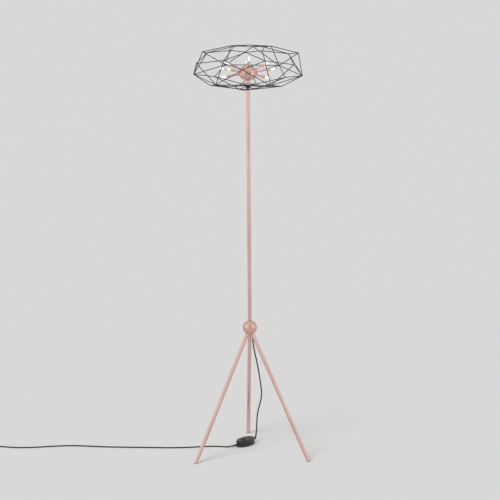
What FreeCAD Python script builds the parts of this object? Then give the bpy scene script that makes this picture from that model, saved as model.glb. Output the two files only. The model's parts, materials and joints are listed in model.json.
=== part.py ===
"""Wire cage floor lamp on a copper tripod, with a burst of small capsule bulbs.

Every piece is modelled about the pole's axis, with the floor at height 0 and the viewer on
the -Y side. At the end all pieces move by one step, so that the lamp without its lead is
centred on the origin. Sizes are millimetres and degrees.
"""
import FreeCAD, Part
import math
import os

V = FreeCAD.Vector
UP = V(0, 0, 1)
FLOOR = 0.0

# Tubes and the gaps between pieces that fit in one another
tube_diameter = 16.0
tube_wall = 1.0
fit_gap = 0.1

# Tripod and hub ball
hub_height = 543.0
hub_diameter = 60.0
hub_chamber_radius = 14.0
foot_circle_radius = 270.0
rear_leg_turn = 92.2
leg_count = 3
socket_web = 0.6
stud_diameter = 8.0
stud_grip = 18.0
stud_overhang = 1.0
foot_flange = 1.5
foot_spigot = 24.0

# Cord hole and grommet between the rear leg and the right leg
cord_diameter = 5.5
cord_hole_offset = 12.7
grommet_wall = 0.8
grommet_flange = 1.2
grommet_drop = 3.0
grommet_length = 18.2

# Pole, and the stack of pieces that one hollow threaded rod pulls together over it
pole_seat = 20.0
pole_top = 1556.0
plug_grip = 20.0
rod_diameter = 10.0
rod_bore = 7.0
collar_diameter = 17.0
collar_height = 8.5
hub_plate_width = 24.0
washer_height = 4.8
neck_diameter = 18.5
neck_length = 17.3
nut_width = 15.0
nut_height = 6.0
rod_overhang = 1.5
rod_setback = 2.0

# Burst ball, its arms, and what each arm holds
ball_width = 79.0
ball_height = 62.0
ball_wall = 3.0
ball_lip = 3.5
lip_overlap = 0.3
arm_diameter = 8.0
arm_wall = 0.8
arm_inset = 1.0
holder_diameter = 12.0
holder_wall = 0.7
holder_length = 14.0
holder_floor = 1.0
holder_taper = 2.6
holder_rim = 0.25
holder_rim_height = 1.1
socket_recess = 1.0
pin_diameter = 0.8
pin_spacing = 4.0
pin_depth = 6.0
pin_clearance = 1.0
capsule_diameter = 9.0
capsule_length = 28.0
capsule_foot_diameter = 7.2
capsule_foot_length = 3.0
capsule_shoulder = 1.5
block_length = 18.0
block_width = 12.0
block_height = 10.0
block_spacing = 10.0
block_screw_diameter = 4.4
block_screw_level = 0.7
block_wire_diameter = 2.8
block_wire_level = 0.4

# Each arm: degrees round from the viewer, degrees up, and how far out its bulb's middle is
arms = [
    (90, 84.5, 59),
    (-120, 18, 98), (118, 18, 93),
    (-62, 15, 93), (73, 12, 110),
    (-92, 10, 107), (-12, 10, 100),
    (12, 9, 100), (-175.5, 13, 93),
    (-97, -11, 100), (77, -12, 84),
]

# Cage: six-sided rings of wire corners, each as its radius, its height over the middle of the
# hub plate, and its turn in degrees
wire_diameter = 3.2
cage_sides = 6
cage_turn = -5.5
mitre_size = 38.0
half_side = 180.0 / cage_sides
rings = {
    "top": (73.0, 154.4, 0.0),
    "crown": (166.0, 135.4, half_side),
    "shoulder": (228.0, 114.9, 0.0),
    "wide": (222.0, 44.9, half_side),
    "belly": (168.0, 18.4, 0.0),
    "hub": (58.0, -3.1, half_side),
}

# Foot unit: an oval push dimmer in the lead, lying behind the pole
unit_centre = V(-22.5, 101.0, 0)
unit_turn = 46.5
unit_length = 96.0
unit_width = 56.0
unit_height = 28.0
unit_wall = 2.0
unit_split = 12.0
unit_round = 6.0
unit_foot_round = 1.5
pad_diameter = 9.0
pad_height = 1.5
pad_spacing_long = 52.0
pad_spacing_wide = 28.0
boss_spacing = 56.0
boss_diameter = 8.0
boss_top = 7.0
screw_diameter = 3.0
screw_head_diameter = 5.6
screw_head_height = 1.6
screw_grip = 8.0
screw_room = 2.0
post_diameter = 6.0
board_thickness = 1.6
board_length = 66.0
board_width = 34.0
transformer_size = (19.0, 26.0, 13.0)
transformer_offset = 13.5
button_offset = -12.0
button_diameter = 20.0
button_proud = 3.5
button_travel = 3.0
button_rim = 1.5
button_gap = 0.3
button_edge_round = 1.6
button_dish_radius = 60.0
button_dish_depth = 0.9
button_stem_diameter = 4.4
switch_size = (13.0, 13.0, 7.5)
spring_diameter = 9.6
spring_wire = 0.8
spring_turns = 4

# Rubber boots where the lead enters and leaves the foot unit
boot_length = 23.0
boot_neck_length = 5.5
boot_flange_diameter = 13.0
boot_flange_thickness = 1.6
boot_big_diameter = 10.0
boot_small_diameter = 7.2
boot_height = 12.0
boot_groove_depth = 0.7
boot_grooves = 5
boot_groove_shares = (0, 0.2, 0.5, 0.7)
boot_plain_share = 0.12
boot_in_heading = V(0.12, 0.13, 0.98)
boot_out_heading = V(-0.96, 0.17, -0.22)
boot_in_run = 24.75
boot_out_run = 22.0

# The lead's route by hand, from the ball down to the foot unit
drop_route = [
    V(11.0, 7.4, 496), V(12.9, 13.0, 472), V(16.6, 21.5, 442),
    V(23.5, 33.5, 405), V(32.0, 48.0, 358), V(39.8, 62.0, 306),
    V(45.6, 75.0, 258), V(47.3, 87.0, 219), V(40.0, 97.0, 184),
    V(31.0, 107.0, 148), V(27.0, 121.0, 112), V(25.8, 139.0, 78),
]

# The lead's route by hand, from the foot unit along the floor to the coil
lying = cord_diameter / 2 + 0.15
floor_route = [
    (-110, 69), (-150, 77), (-196, 75), (-262, 64), (-334, 60), (-407, 66),
    (-480, 70), (-552, 75), (-622, 81), (-691, 94), (-760, 102), (-830, 95),
    (-899, 82), (-968, 77), (-1030, 89), (-1079, 107),
]

# The put-away length: a two-layer coil held by a tie, just outside the picture, and the plug
coil_centre = V(-1128, 152, 0)
coil_radius = 36.0
coil_step = 6.1
coil_turns_in = 1.5
coil_turns_up = 0.5
coil_turns_out = 1.25
coil_lift = 1.5
coil_run = 22.0
tie_width = 4.0
tie_thickness = 1.0
tie_slack = 0.5
tie_turn = 40.0
lead_run = 15.0
plug_step = V(6.0, 45.0, 0)
plug_heading = V(0.24, 0.97, 0)
plug_length = 36.0
plug_width = 26.0
plug_thickness = 14.0
plug_neck_length = 20.0
plug_neck_start = (7.8, 7.2)
plug_neck_end = (12.6, 9.8)
plug_body_start = (16.1, 12.0)
plug_body_middle = (23.4, 14.0)
plug_shoulder = 0.45
plug_floor_gap = 0.2
plug_pin_diameter = 4.0
plug_pin_round = 1.0
plug_pin_length = 19.0
plug_pin_spacing = 18.6

# Sizes that follow from the ones above
tube_radius = tube_diameter / 2
tube_bore = tube_radius - tube_wall
hub_centre = V(0, 0, hub_height)
hub_radius = hub_diameter / 2
leg_tilt = math.atan2(foot_circle_radius, hub_height)
leg_length = math.hypot(foot_circle_radius, hub_height)
half_between_legs = math.asin(math.sin(leg_tilt) * math.sin(math.pi / leg_count))
leg_seat = (tube_radius + fit_gap + socket_web / 2) / math.sin(half_between_legs)
wire_radius = wire_diameter / 2
plate_bottom = pole_top + collar_height
neck_bottom = plate_bottom + wire_diameter + washer_height
neck_top = neck_bottom + neck_length
ball_radius = ball_width / 2
ball_rise = ball_height / 2
ball_inner_radius = ball_radius - ball_wall
ball_inner_rise = ball_rise - ball_wall
ball_centre_height = neck_top + ball_rise * math.sqrt(1 - (neck_diameter / 2 / ball_radius) ** 2)
ball_centre = V(0, 0, ball_centre_height)


def placed(shape, at=V(0, 0, 0), along=UP):
    """Turn a shape drawn up the Z axis so that it points along a direction, and move it."""
    moved = shape.copy()
    moved.Placement = FreeCAD.Placement(at, FreeCAD.Rotation(UP, along))
    return moved


def rod(radius, start, end):
    """A solid round bar from one point to another."""
    return Part.makeCylinder(radius, (end - start).Length, start, end - start)


def pipe(outer, inner, start, end):
    """A round tube from one point to another."""
    return rod(outer, start, end).cut(rod(inner, start, end))


def between(axis, low, high):
    """The points on a line through the hub ball's centre at two distances."""
    return hub_centre + axis * low, hub_centre + axis * high


def up(z):
    """The point on the pole's axis at one height."""
    return V(0, 0, z)


def hexagon(width, height):
    """A six-sided bar standing on the origin, as wide as given between its flats."""
    corner = width / 2 / math.cos(math.pi / 6)
    turns = [math.radians(60 * i + 30) for i in range(7)]
    outline = Part.makePolygon([V(corner * math.cos(a), corner * math.sin(a), 0) for a in turns])
    return Part.Face(outline).extrude(V(0, 0, height))


def above(shape, height, reach=3000.0):
    """The part of a shape over a level."""
    return shape.common(Part.makeBox(2 * reach, 2 * reach, reach, V(-reach, -reach, height)))


def below(shape, height, reach=3000.0):
    """The part of a shape under a level."""
    return shape.common(Part.makeBox(2 * reach, 2 * reach, reach, V(-reach, -reach, height - reach)))


def heading(turn, rise=0.0):
    """A direction from degrees round from the viewer and degrees up."""
    turn = math.radians(turn)
    rise = math.radians(rise)
    return V(math.cos(rise) * math.sin(turn), -math.cos(rise) * math.cos(turn), math.sin(rise))


def compound(shapes):
    """Several separate solids of one node."""
    return Part.makeCompound(list(shapes))


# Tripod

def leg_axis(number):
    """The direction in which a leg runs down and out of the hub ball's centre."""
    turn = math.radians(rear_leg_turn + 360.0 / leg_count * number)
    flat = math.sin(leg_tilt)
    return V(flat * math.cos(turn), flat * math.sin(turn), -math.cos(leg_tilt))


def leg(axis):
    """A leg's tube, square in the ball and cut level just over the floor."""
    tube = pipe(tube_radius, tube_bore, *between(axis, leg_seat, leg_length + foot_spigot))
    return above(tube, FLOOR + foot_flange)


def leg_plug(axis):
    """The threaded plug pressed in a leg's top end."""
    ends = between(axis, leg_seat, leg_seat + plug_grip)
    return pipe(tube_bore - fit_gap, stud_diameter / 2 + fit_gap, *ends)


def leg_stud(axis):
    """The stud that joins a leg's plug to the hub ball."""
    return rod(stud_diameter / 2, *between(axis, hub_chamber_radius + stud_overhang, leg_seat + stud_grip))


def foot_plug(axis):
    """The plug in a leg's foot: a spigot in the bore, and a level face on the floor."""
    ends = between(axis, leg_length - foot_spigot, leg_length + foot_spigot)
    flange = below(above(rod(tube_radius, *ends), FLOOR), FLOOR + foot_flange)
    spigot = above(rod(tube_bore - fit_gap, *ends), FLOOR + foot_flange / 2)
    return flange.fuse(spigot).removeSplitter()


def cord_hole_at(height):
    """The point of the cord hole's axis at one height, midway between two legs."""
    turn = math.radians(rear_leg_turn - 180.0 / leg_count)
    return V(cord_hole_offset * math.cos(turn), cord_hole_offset * math.sin(turn), height)


cord_hole_radius = cord_diameter / 2 + fit_gap + grommet_wall + fit_gap
cord_exit_height = hub_height - math.sqrt(hub_radius ** 2 - cord_hole_offset ** 2)
grommet_foot = cord_exit_height - grommet_drop


def hub_ball(axes):
    """The ball with a hollow middle, sockets for the tubes, and the cord's hole."""
    ball = Part.makeSphere(hub_radius, hub_centre)
    ball = ball.cut(Part.makeSphere(hub_chamber_radius, hub_centre))
    for axis in axes:
        ball = ball.cut(rod(tube_radius + fit_gap, *between(axis, leg_seat, hub_diameter)))
        ball = ball.cut(rod(stud_diameter / 2 + fit_gap, *between(axis, 0, leg_seat)))
    ball = ball.cut(rod(tube_radius + fit_gap, *between(UP, pole_seat, hub_diameter)))
    ball = ball.cut(rod(rod_diameter / 2 + fit_gap, *between(UP, 0, pole_seat)))
    return ball.cut(rod(cord_hole_radius, cord_hole_at(FLOOR), cord_hole_at(hub_height)))


def grommet():
    """The bush that keeps the cord off the ball's edge, with its flange under the ball."""
    bore = cord_diameter / 2 + fit_gap
    sleeve_radius = bore + grommet_wall
    sleeve = rod(sleeve_radius, cord_hole_at(grommet_foot), cord_hole_at(grommet_foot + grommet_length))
    flange = rod(sleeve_radius + grommet_flange, cord_hole_at(grommet_foot),
                 cord_hole_at(cord_exit_height))
    flange = flange.cut(Part.makeSphere(hub_radius + fit_gap, hub_centre))
    hollow = rod(bore, cord_hole_at(grommet_foot), cord_hole_at(hub_height))
    return sleeve.fuse(flange).cut(hollow).removeSplitter()


# Pole and the stack on it

def pole():
    return pipe(tube_radius, tube_bore, up(hub_height + pole_seat), up(pole_top))


def pole_plug(low):
    """The threaded plug pressed in one end of the pole."""
    return pipe(tube_bore - fit_gap, rod_diameter / 2 + fit_gap, up(low), up(low + plug_grip))


def threaded_rod(low, high):
    return pipe(rod_diameter / 2, rod_bore / 2, up(low), up(high))


def hub_plate():
    """The cage's six-sided plate, with a flat towards each spoke."""
    plate = hexagon(hub_plate_width, wire_diameter)
    plate.rotate(V(0, 0, 0), UP, cage_turn + half_side - 90)
    plate.translate(up(plate_bottom))
    return plate.cut(rod(rod_diameter / 2 + fit_gap, up(plate_bottom - 1), up(neck_bottom)))


def stack_ring(diameter, low, high):
    return pipe(diameter / 2, rod_diameter / 2 + fit_gap, up(low), up(high))


nut_corner = nut_width / 2 / math.cos(math.pi / 6)
nut_drop = ball_inner_rise * math.sqrt(1 - (nut_corner / ball_inner_radius) ** 2)
nut_bottom = ball_centre_height - nut_drop + fit_gap
rod_top = nut_bottom + nut_height + rod_overhang


def head_nut():
    nut = hexagon(nut_width, nut_height)
    nut.translate(up(nut_bottom))
    return nut.cut(rod(rod_diameter / 2 + fit_gap, up(nut_bottom), up(nut_bottom + nut_height)))


# Burst ball and arms

def flat_ball(radius, rise):
    """A ball pressed a little flat: round from above, an oval from the side."""
    edge = Part.Arc(Part.Ellipse(V(0, 0, 0), radius, rise), -math.pi / 2, math.pi / 2).toShape()
    edge.rotate(V(0, 0, 0), V(1, 0, 0), 90)
    closing = Part.LineSegment(V(0, 0, rise), V(0, 0, -rise)).toShape()
    ball = Part.Face(Part.Wire([edge, closing])).revolve(V(0, 0, 0), UP, 360)
    ball.translate(ball_centre)
    return ball


def ball_reach(way, radius, rise):
    """How far the flat ball's surface is from its centre in a direction."""
    return 1 / math.sqrt((way.x ** 2 + way.y ** 2) / radius ** 2 + way.z ** 2 / rise ** 2)


def ball_shell():
    """The hollow ball, spot-faced for the neck and drilled for the rod."""
    shell = flat_ball(ball_radius, ball_rise).cut(flat_ball(ball_inner_radius, ball_inner_rise))
    shell = shell.cut(rod(neck_diameter / 2 + fit_gap, up(neck_top - ball_radius), up(neck_top)))
    shell = shell.cut(rod(rod_diameter / 2 + fit_gap, up(neck_top - 1), ball_centre))
    return shell


def drill_for_arms(shape):
    for turn, rise, reach in arms:
        way = heading(turn, rise)
        shape = shape.cut(rod(arm_diameter / 2 + fit_gap, ball_centre, ball_centre + way * ball_width))
    return shape


def lower_half(shell):
    """The lower half with the lip that the upper half sits round."""
    lip_outer = ball_radius - ball_wall / 2 - fit_gap
    lip_inner = ball_inner_radius - lip_overlap
    lip = pipe(lip_outer, lip_inner, ball_centre - UP * ball_wall, ball_centre + UP * ball_lip)
    return drill_for_arms(below(shell, ball_centre_height).fuse(lip).removeSplitter())


def upper_half(shell):
    """The upper half, bored out inside its edge for the lower half's lip."""
    half = above(shell, ball_centre_height)
    bore = rod(ball_radius - ball_wall / 2, ball_centre, ball_centre + UP * (ball_lip + fit_gap))
    return drill_for_arms(half.cut(bore))


socket_radius = holder_diameter / 2 - holder_wall - fit_gap
socket_seat = max(holder_floor, holder_taper)


def holder_ends(reach):
    """How far out of the ball's centre a holder starts and ends, from its bulb's middle."""
    mouth = reach - capsule_length / 2 + socket_recess
    return mouth - holder_length, mouth


def arm_tube(way, reach):
    base, mouth = holder_ends(reach)
    start = ball_centre + way * (ball_reach(way, ball_inner_radius, ball_inner_rise) - arm_inset)
    end = ball_centre + way * (base + socket_seat)
    return pipe(arm_diameter / 2, arm_diameter / 2 - arm_wall, start, end)


def lamp_holder(way, reach):
    """The cup on an arm's end: a tapered foot, a rolled rim, and a hole in its floor for the arm."""
    base, mouth = holder_ends(reach)
    outer = holder_diameter / 2
    foot = Part.makeCone(arm_diameter / 2 + holder_wall, outer, holder_taper)
    side = Part.makeCylinder(outer, holder_length - holder_taper, up(holder_taper))
    rim = Part.makeCylinder(outer + holder_rim, holder_rim_height, up(holder_length - holder_rim_height))
    cup = foot.fuse([side, rim]).removeSplitter()
    cup = cup.cut(Part.makeCylinder(socket_radius + fit_gap, holder_length, up(socket_seat)))
    cup = cup.cut(Part.makeCylinder(arm_diameter / 2 + fit_gap, holder_length))
    return placed(cup, ball_centre + way * base, way)


def ceramic_socket(way, reach):
    """The ceramic body in the cup, with two holes for the bulb's pins."""
    base, mouth = holder_ends(reach)
    length = holder_length - socket_seat - socket_recess
    body = Part.makeCylinder(socket_radius, length)
    for side in (-1, 1):
        at = V(side * pin_spacing / 2, 0, length - pin_depth - pin_clearance)
        body = body.cut(Part.makeCylinder(pin_diameter / 2 + fit_gap, length, at))
    return placed(body, ball_centre + way * (base + socket_seat), way)


def bulb_pins(way, reach):
    base, mouth = holder_ends(reach)
    pins = [Part.makeCylinder(pin_diameter / 2, pin_depth, V(side * pin_spacing / 2, 0, -pin_depth))
            for side in (-1, 1)]
    return [placed(pin, ball_centre + way * (mouth - socket_recess), way) for pin in pins]


def bulb_capsule(way, reach):
    """The capsule: a narrow foot, a straight body and a domed end."""
    base, mouth = holder_ends(reach)
    foot = capsule_foot_diameter / 2
    body = capsule_diameter / 2
    top = capsule_length
    low = V(0, 0, 0)
    foot_edge = V(foot, 0, 0)
    foot_top = V(foot, 0, capsule_foot_length)
    shoulder = V(body, 0, capsule_foot_length + capsule_shoulder)
    dome_start = V(body, 0, top - body)
    dome_middle = V(body * math.sin(math.pi / 4), 0, top - body + body * math.sin(math.pi / 4))
    tip = V(0, 0, top)
    corners = [low, foot_edge, foot_top, shoulder, dome_start]
    sides = [Part.LineSegment(a, b).toShape() for a, b in zip(corners, corners[1:])]
    sides.append(Part.Arc(dome_start, dome_middle, tip).toShape())
    sides.append(Part.LineSegment(tip, low).toShape())
    solid = Part.Face(Part.Wire(sides)).revolve(V(0, 0, 0), UP, 360)
    return placed(solid, ball_centre + way * (mouth - socket_recess), way)


def terminal_block():
    """The block that joins the cord to the arms' wires, on the rod's end."""
    block = Part.makeBox(block_length, block_width, block_height, V(-block_length / 2, -block_width / 2, rod_top))
    for x in (-block_spacing / 2, block_spacing / 2):
        screw_hole = V(x, 0, rod_top + block_height * block_screw_level)
        wire_hole = V(x, -block_width, rod_top + block_height * block_wire_level)
        block = block.cut(Part.makeCylinder(block_screw_diameter / 2, block_height, screw_hole))
        block = block.cut(Part.makeCylinder(block_wire_diameter / 2, 2 * block_width, wire_hole, V(0, 1, 0)))
    return block


# Cage

def corner(ring, number):
    radius, height, turn = rings[ring]
    flat = heading(cage_turn + turn + 360.0 / cage_sides * number) * radius
    return V(flat.x, flat.y, plate_bottom + wire_radius + height)


def spoke_foot(number):
    """Where a spoke meets the flat of the hub plate."""
    flat = heading(cage_turn + half_side + 360.0 / cage_sides * number) * (hub_plate_width / 2)
    return V(flat.x, flat.y, plate_bottom + wire_radius)


# Each run of wires: its node, its two rings, and the steps round from one ring's corner to
# the other's
wire_runs = [
    ("cage_top_ring", "top", "top", [1]),
    ("cage_crown_wires", "crown", "top", [0, 1]),
    ("cage_crown_wires", "crown", "shoulder", [0, 1]),
    ("cage_side_wires", "crown", "wide", [0]),
    ("cage_side_wires", "wide", "shoulder", [0, 1]),
    ("cage_wide_ring", "wide", "wide", [1]),
    ("cage_belly_wires", "wide", "belly", [0, 1]),
    ("cage_floor_wires", "hub", "belly", [0, 1]),
    ("cage_hub_ring", "hub", "hub", [1]),
]


def neighbours():
    """For each corner, the places that its wires run to."""
    found = {}
    for node, first, second, steps in wire_runs:
        for number in range(cage_sides):
            for step in steps:
                a = (first, number)
                b = (second, (number + step) % cage_sides)
                found.setdefault(a, []).append(corner(*b))
                found.setdefault(b, []).append(corner(*a))
    for number in range(cage_sides):
        found[("hub", number)].append(spoke_foot(number))
    return found


def mitred(wire, at, far_end, others):
    """Trim a wire's end where it meets the other wires of its corner, plane to plane."""
    mine = (far_end - at).normalize()
    size = mitre_size
    for other in others:
        away = mine - (other - at).normalize()
        if away.Length < 1e-6:
            continue
        waste = Part.makeBox(size, size, size, V(-size / 2, -size / 2, -size))
        wire = wire.cut(placed(waste, at, away))
    return wire


def cage_wire(start, end, meets):
    """One straight wire between two corners, mitred at both."""
    along = (end - start).normalize()
    a = start - along * wire_diameter
    b = end + along * wire_diameter
    wire = rod(wire_radius, a, b)
    for at, far in ((start, end), (end, start)):
        wire = mitred(wire, at, far, meets(at, far))
    return wire


def cage_nodes():
    """The wires of one sixth of the cage, and their turned copies."""
    found = neighbours()
    places = {key: corner(*key) for key in found}

    def meets(at, far):
        for key, place in places.items():
            if place.distanceToPoint(at) < 1e-6:
                return [p for p in found[key] if p.distanceToPoint(far) > 1e-6]
        return []

    nodes = {}
    for node, first, second, steps in wire_runs:
        for step in steps:
            wire = cage_wire(corner(first, 0), corner(second, step), meets)
            nodes.setdefault(node, []).extend(turned_copies(wire))
    along = (spoke_foot(0) - corner("hub", 0)).normalize()
    spoke = rod(wire_radius, corner("hub", 0) - along * wire_diameter, spoke_foot(0) + along * wire_diameter)
    spoke = mitred(spoke, corner("hub", 0), spoke_foot(0), meets(corner("hub", 0), spoke_foot(0)))
    inward = heading(cage_turn + half_side) * -1
    size = hub_plate_width
    waste = Part.makeBox(size, size, size, V(-size / 2, -size / 2, 0))
    nodes["cage_spokes"] = turned_copies(spoke.cut(placed(waste, spoke_foot(0), inward)))
    return {name: compound(wires) for name, wires in nodes.items()}


def turned_copies(wire):
    copies = []
    for number in range(cage_sides):
        copy = wire.copy()
        copy.rotate(V(0, 0, 0), UP, 360.0 / cage_sides * number)
        copies.append(copy)
    return copies


# Foot unit

def in_unit(shape):
    """Move a piece drawn about the unit's middle, long side along X, to its place."""
    moved = shape.copy()
    moved.rotate(V(0, 0, 0), UP, unit_turn)
    moved.translate(unit_centre)
    return moved


def oval(inset, low, high):
    """An oval block, drawn in from the unit's outline."""
    edge = Part.Ellipse(V(0, 0, low), unit_length / 2 - inset, unit_width / 2 - inset).toShape()
    return Part.Face(Part.Wire(edge)).extrude(V(0, 0, high - low))


def rounded_rim(block, level, radius):
    """Round the edge of an oval block at one level."""
    edges = [e for e in block.Edges if abs(e.BoundBox.ZMin - level) < 1e-4 and abs(e.BoundBox.ZMax - level) < 1e-4]
    return block.makeFillet(radius, edges)


def boss_places():
    return [V(-boss_spacing / 2, 0, 0), V(boss_spacing / 2, 0, 0)]


def pad_places():
    return [V(x * pad_spacing_long / 2, y * pad_spacing_wide / 2, 0) for x in (-1, 1) for y in (-1, 1)]


def unit_base():
    """The base shell, with two bosses that carry the board."""
    block = rounded_rim(oval(0, pad_height, unit_split), pad_height, unit_foot_round)
    shell = block.cut(oval(unit_wall, pad_height + unit_wall, unit_split))
    for at in boss_places():
        shell = shell.fuse(Part.makeCylinder(boss_diameter / 2, boss_top - pad_height, at + up(pad_height)))
    for at in boss_places():
        shell = shell.cut(Part.makeCylinder(screw_diameter / 2 + fit_gap, unit_height, at))
        shell = shell.cut(Part.makeCylinder(screw_head_diameter / 2 + fit_gap,
                                            screw_head_height + fit_gap, at + up(pad_height)))
    for side in (-1, 1):
        shell = shell.cut(boot_hole(side))
    return in_unit(shell.removeSplitter())


board_top = boss_top + board_thickness
roof = unit_height - unit_wall


def unit_cover():
    """The cover shell: rounded edge, button hole, and posts down to the board."""
    outer = rounded_rim(oval(0, unit_split, unit_height), unit_height, unit_round)
    inner = rounded_rim(oval(unit_wall, unit_split, roof), roof, unit_round - unit_wall)
    shell = outer.cut(inner)
    for at in boss_places():
        post = Part.makeCylinder(post_diameter / 2, roof + unit_wall / 2 - board_top, at + up(board_top))
        shell = shell.fuse(post)
    for at in boss_places():
        hole = Part.makeCylinder(screw_diameter / 2 + fit_gap, screw_grip + screw_room, at + up(board_top))
        shell = shell.cut(hole)
    for side in (-1, 1):
        shell = shell.cut(boot_hole(side))
    hole = Part.makeCylinder(button_diameter / 2 + button_gap, unit_height, V(button_offset, 0, roof - unit_wall))
    return in_unit(shell.cut(hole).removeSplitter())


def unit_button():
    """The push button: a cap with a rim that stops under the cover, and a stem."""
    top = unit_height + button_proud
    rim_top = roof - button_gap
    cap = Part.makeCylinder(button_diameter / 2, top - rim_top, V(0, 0, rim_top))
    cap = cap.makeFillet(button_edge_round, [e for e in cap.Edges if abs(e.BoundBox.ZMin - top) < 1e-4])
    rim = Part.makeCylinder(button_diameter / 2 + button_rim, button_rim, V(0, 0, rim_top - button_rim))
    stem_end = board_top + switch_size[2] + button_travel + 2 * button_gap
    stem = Part.makeCylinder(button_stem_diameter / 2, rim_top - stem_end, V(0, 0, stem_end))
    dish = Part.makeSphere(button_dish_radius, V(0, 0, top + button_dish_radius - button_dish_depth))
    button = cap.fuse(rim).fuse(stem).cut(dish).removeSplitter()
    button.translate(V(button_offset, 0, 0))
    return in_unit(button)


def unit_switch():
    """The switch on the board that the button's stem presses."""
    length, width, height = switch_size
    return in_unit(Part.makeBox(length, width, height, V(button_offset - length / 2, -width / 2, board_top)))


spring_low = board_top + switch_size[2]
spring_high = roof - button_gap - button_rim - button_gap


def spring_point(turns):
    """A point of the spring's middle line after some turns, about its own axis."""
    angle = 2 * math.pi * turns
    rise = (spring_high - spring_low - spring_wire) * turns / spring_turns
    radius = spring_diameter / 2
    return V(radius * math.cos(angle), radius * math.sin(angle), spring_low + spring_wire / 2 + rise)


def button_spring():
    """The spring that lifts the button: a few open turns between switch and button."""
    edges = []
    for number in range(4 * spring_turns):
        a = number / 4
        b = (number + 1) / 4
        edges += two_arcs(spring_point(a), way_along(spring_point, a), spring_point(b), way_along(spring_point, b))
    spring = swept(Part.Wire(edges), spring_point(0), way_along(spring_point, 0), spring_wire)
    report_cord("unit_spring", spring, Part.Wire(edges), [spring_diameter / 2], spring_wire)
    spring.translate(V(button_offset, 0, 0))
    return in_unit(spring)


def unit_board():
    """The circuit board, held between the base's bosses and the cover's posts."""
    board = Part.makeBox(board_length, board_width, board_thickness,
                         V(-board_length / 2, -board_width / 2, boss_top))
    for at in boss_places():
        board = board.cut(Part.makeCylinder(screw_diameter / 2 + fit_gap, unit_height, at))
    return in_unit(board)


def unit_transformer():
    length, width, height = transformer_size
    return in_unit(Part.makeBox(length, width, height, V(transformer_offset - length / 2, -width / 2, board_top)))


def unit_screws():
    """Two screws from below, through base and board into the cover's posts."""
    screws = []
    for at in boss_places():
        head = Part.makeCylinder(screw_head_diameter / 2, screw_head_height, at + up(pad_height + fit_gap))
        length = board_top + screw_grip - pad_height - fit_gap
        shank = Part.makeCylinder(screw_diameter / 2, length, at + up(pad_height + fit_gap))
        screws.append(in_unit(head.fuse(shank).removeSplitter()))
    return compound(screws)


def unit_pads():
    return compound(in_unit(Part.makeCylinder(pad_diameter / 2, pad_height, at)) for at in pad_places())


def boot_path(side):
    """A boot's start, its first direction out of the unit, and its last direction."""
    turn = math.radians(unit_turn)
    way = V(math.cos(turn), math.sin(turn), 0) * side
    start = unit_centre + way * (unit_length / 2) + up(boot_height)
    end_way = boot_in_heading if side > 0 else boot_out_heading
    return start, way, V(end_way).normalize()


def boot_hole(side):
    """The hole through both shells for a boot's neck, drawn about the unit's middle."""
    middle = up(boot_height)
    return rod(boot_big_diameter / 2 + fit_gap, middle + V(side * boss_spacing / 2 + side * boss_diameter, 0, 0),
               middle + V(side * unit_length, 0, 0))


def boot_frame(side, share):
    """A point of a boot's bent middle line, and the direction there."""
    start, first, last = boot_path(side)
    bend = first.getAngle(last)
    across = (last - first * first.dot(last)).normalize()
    radius = boot_length / bend
    angle = bend * share
    point = start + first * (radius * math.sin(angle)) + across * (radius * (1 - math.cos(angle)))
    return point, first * math.cos(angle) + across * math.sin(angle)


def boot_profile():
    """A boot's shares of its length and the radius at each: a taper with grooves that let it bend."""
    def taper(share):
        return (boot_big_diameter + (boot_small_diameter - boot_big_diameter) * share) / 2

    pitch = (1 - 2 * boot_plain_share) / boot_grooves
    profile = [(0, taper(0))]
    for groove in range(boot_grooves):
        start = boot_plain_share + pitch * groove
        for part, depth in zip(boot_groove_shares, (0, boot_groove_depth, boot_groove_depth, 0)):
            share = start + pitch * part
            profile.append((share, taper(share) - depth))
    return profile + [(1, taper(1))]


def boot(side):
    """A rubber boot that tapers and bends with the cord, with grooves round it."""
    sections = []
    for share, radius in boot_profile():
        point, way = boot_frame(side, share)
        sections.append(Part.Wire(placed(Part.makeCircle(radius), point, way)))
    start, first, last = boot_path(side)
    inner = start - first * boot_neck_length
    neck = rod(boot_big_diameter / 2, inner, start)
    flange = rod(boot_flange_diameter / 2, inner, inner + first * boot_flange_thickness)
    return Part.makeLoft(sections, True, True).fuse(neck).fuse(flange).removeSplitter()


# Lead

def cord_path(points):
    """Straight runs joined by the widest arcs that fit them, with the arcs' radii."""
    edges = []
    radii = []
    here = points[0]
    for before, at, after in zip(points, points[1:], points[2:]):
        back = before - at
        ahead = after - at
        half_turn = (math.pi - back.getAngle(ahead)) / 2
        cut = 0.45 * min(back.Length, ahead.Length)
        radii.append(cut / math.tan(half_turn))
        first = at + back.normalize() * cut
        last = at + ahead.normalize() * cut
        inward = (back + ahead).normalize()
        middle = at + inward * arc_inset(cut, half_turn)
        edges.append(Part.LineSegment(here, first).toShape())
        edges.append(Part.Arc(first, middle, last).toShape())
        here = last
    edges.append(Part.LineSegment(here, points[-1]).toShape())
    return Part.Wire(edges), radii


def arc_inset(cut, half_turn):
    """How far inside its corner an arc passes."""
    radius = cut / math.tan(half_turn)
    return radius / math.cos(half_turn) - radius


def way_along(point_at, turns):
    """The direction of a winding after some turns."""
    step = 0.001
    return (point_at(turns + step) - point_at(turns - step)).normalize()


def swept(path, start, way, diameter):
    """A round tube along a path."""
    section = Part.Wire(Part.makeCircle(diameter / 2, start, way))
    shell = Part.BRepOffsetAPI.MakePipeShell(path)
    shell.add(section)
    shell.build()
    shell.makeSolid()
    return shell.shape()


def report_cord(name, tube, path, radii, diameter):
    section = math.pi * diameter ** 2 / 4
    print(name, "length", round(path.Length), "volume ratio", round(tube.Volume / (section * path.Length), 4),
          "radii", [round(r) for r in radii])


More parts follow.
